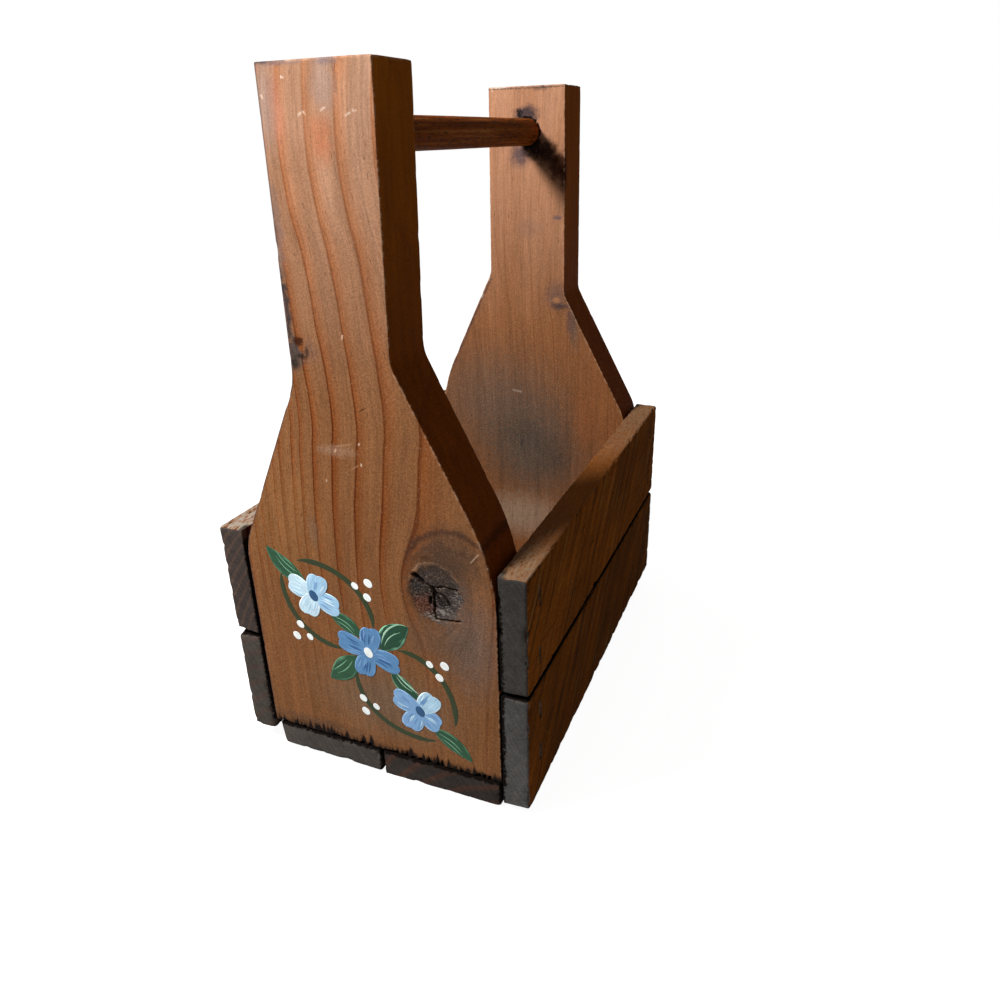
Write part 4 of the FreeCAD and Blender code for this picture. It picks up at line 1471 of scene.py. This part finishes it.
class TOTE_OT_stage(bpy.types.Operator):
    """Lay the floor, hang the lamp, light the sky evenly and set up the camera."""
    bl_idname = "tote.stage"
    bl_label = "Floor, lights and camera"

    def execute(self, context):
        scene, stage = context.scene, context.scene.tote_stage
        floor = bpy.data.meshes.new("floor")
        half, level = 1.5, -0.1 * MM
        floor.from_pydata([(-half, -half, level), (half, -half, level), (half, half, level),
                           (-half, half, level)], [], [(0, 1, 2, 3)])
        new_object("floor", floor)

        # Paper that takes the lamp's shadow, and glows for the camera so that it meets the sky
        material, tree, shader = new_material("matt_white_paper")
        fill(tree, shader, {"Base Color": (0.42, 0.42, 0.42), "Roughness": 0.9,
                            "Specular IOR Level": 0.0})
        seen = add(tree, "ShaderNodeLightPath").outputs
        direct = add(tree, MAXIMUM, seen["Is Camera Ray"], seen["Is Glossy Ray"])
        direct = add(tree, MAXIMUM, direct, seen["Is Transmission Ray"])
        glow = add(tree, "ShaderNodeEmission",
                   {"Color": (1, 1, 1), "Strength": add(tree, TIMES, direct, 0.93)})
        both = add(tree, "ShaderNodeAddShader", {0: shader, 1: glow})
        fill(tree, tree.nodes["Material Output"], {"Surface": both})
        floor.materials.append(material)

        # White wherever the camera looks, and a weak even light on everything else
        world = bpy.data.worlds.new("even_light")
        scene.world = world
        world.use_nodes = True
        tree = world.node_tree
        seen = add(tree, "ShaderNodeLightPath").outputs
        direct = add(tree, MAXIMUM, seen["Is Camera Ray"], seen["Is Transmission Ray"])
        fill(tree, tree.nodes["Background"], {
            "Color": (1, 1, 1), "Strength": add(tree, RANGE, direct, 0, 1, stage.fill, 1.0)})

        lamp = bpy.data.lights.new("key", "AREA")
        lamp.shape = "DISK"
        lamp.size = 0.09
        lamp.energy = stage.key_power
        lamp.color = (1.0, 0.99, 0.97)
        key = new_object("key", lamp)
        key.location = KEY_PLACE
        key.rotation_euler = (KEY_AIM - KEY_PLACE).to_track_quat("-Z", "Y").to_euler()

        lens = bpy.data.cameras.new("camera")
        lens.sensor_width = 36.0
        lens.lens = stage.lens
        lens.clip_start = 0.01
        camera = new_object("camera", lens)
        turns = [Matrix.Rotation(math.radians(angle), 4, axis) for angle, axis in CAMERA_TURNS]
        camera.matrix_world = Matrix.Translation(CAMERA_PLACE) @ turns[0] @ turns[1] @ turns[2]
        scene.camera = camera
        scene.view_settings.view_transform = "Standard"
        return {"FINISHED"}


class TOTE_PT_panel(bpy.types.Panel):
    """Lists the tote's settings and the steps that build it."""
    bl_idname = "TOTE_PT_panel"
    bl_label = "Slatted tote"
    bl_space_type = "VIEW_3D"
    bl_region_type = "UI"
    bl_category = "Tote"

    def draw(self, context):
        for group in SETTINGS:
            settings = getattr(context.scene, group)
            box = self.layout.box()
            for key in settings.bl_rna.properties.keys():
                if key not in ("rna_type", "name"):
                    box.prop(settings, key)
        for step in STEPS:
            self.layout.operator(step.bl_idname)


SETTINGS = {
    "tote_timber": ToteTimberSettings,
    "tote_finish": ToteFinishSettings,
    "tote_spray": ToteSpraySettings,
    "tote_stage": ToteStageSettings,
}
STEPS = (TOTE_OT_end_boards, TOTE_OT_spray, TOTE_OT_slats, TOTE_OT_handle, TOTE_OT_staples,
         TOTE_OT_stage)


def register():
    for kind in (*SETTINGS.values(), *STEPS, TOTE_PT_panel):
        bpy.utils.register_class(kind)
    for name, kind in SETTINGS.items():
        setattr(bpy.types.Scene, name, bpy.props.PointerProperty(type=kind))


def unregister():
    for name in SETTINGS:
        delattr(bpy.types.Scene, name)
    for kind in (TOTE_PT_panel, *reversed(STEPS), *reversed(SETTINGS.values())):
        bpy.utils.unregister_class(kind)


def main():
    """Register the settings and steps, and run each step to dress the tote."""
    register()
    for step in STEPS:
        group, name = step.bl_idname.split(".")
        getattr(getattr(bpy.ops, group), name)()


if __name__ == "__main__":
    main()
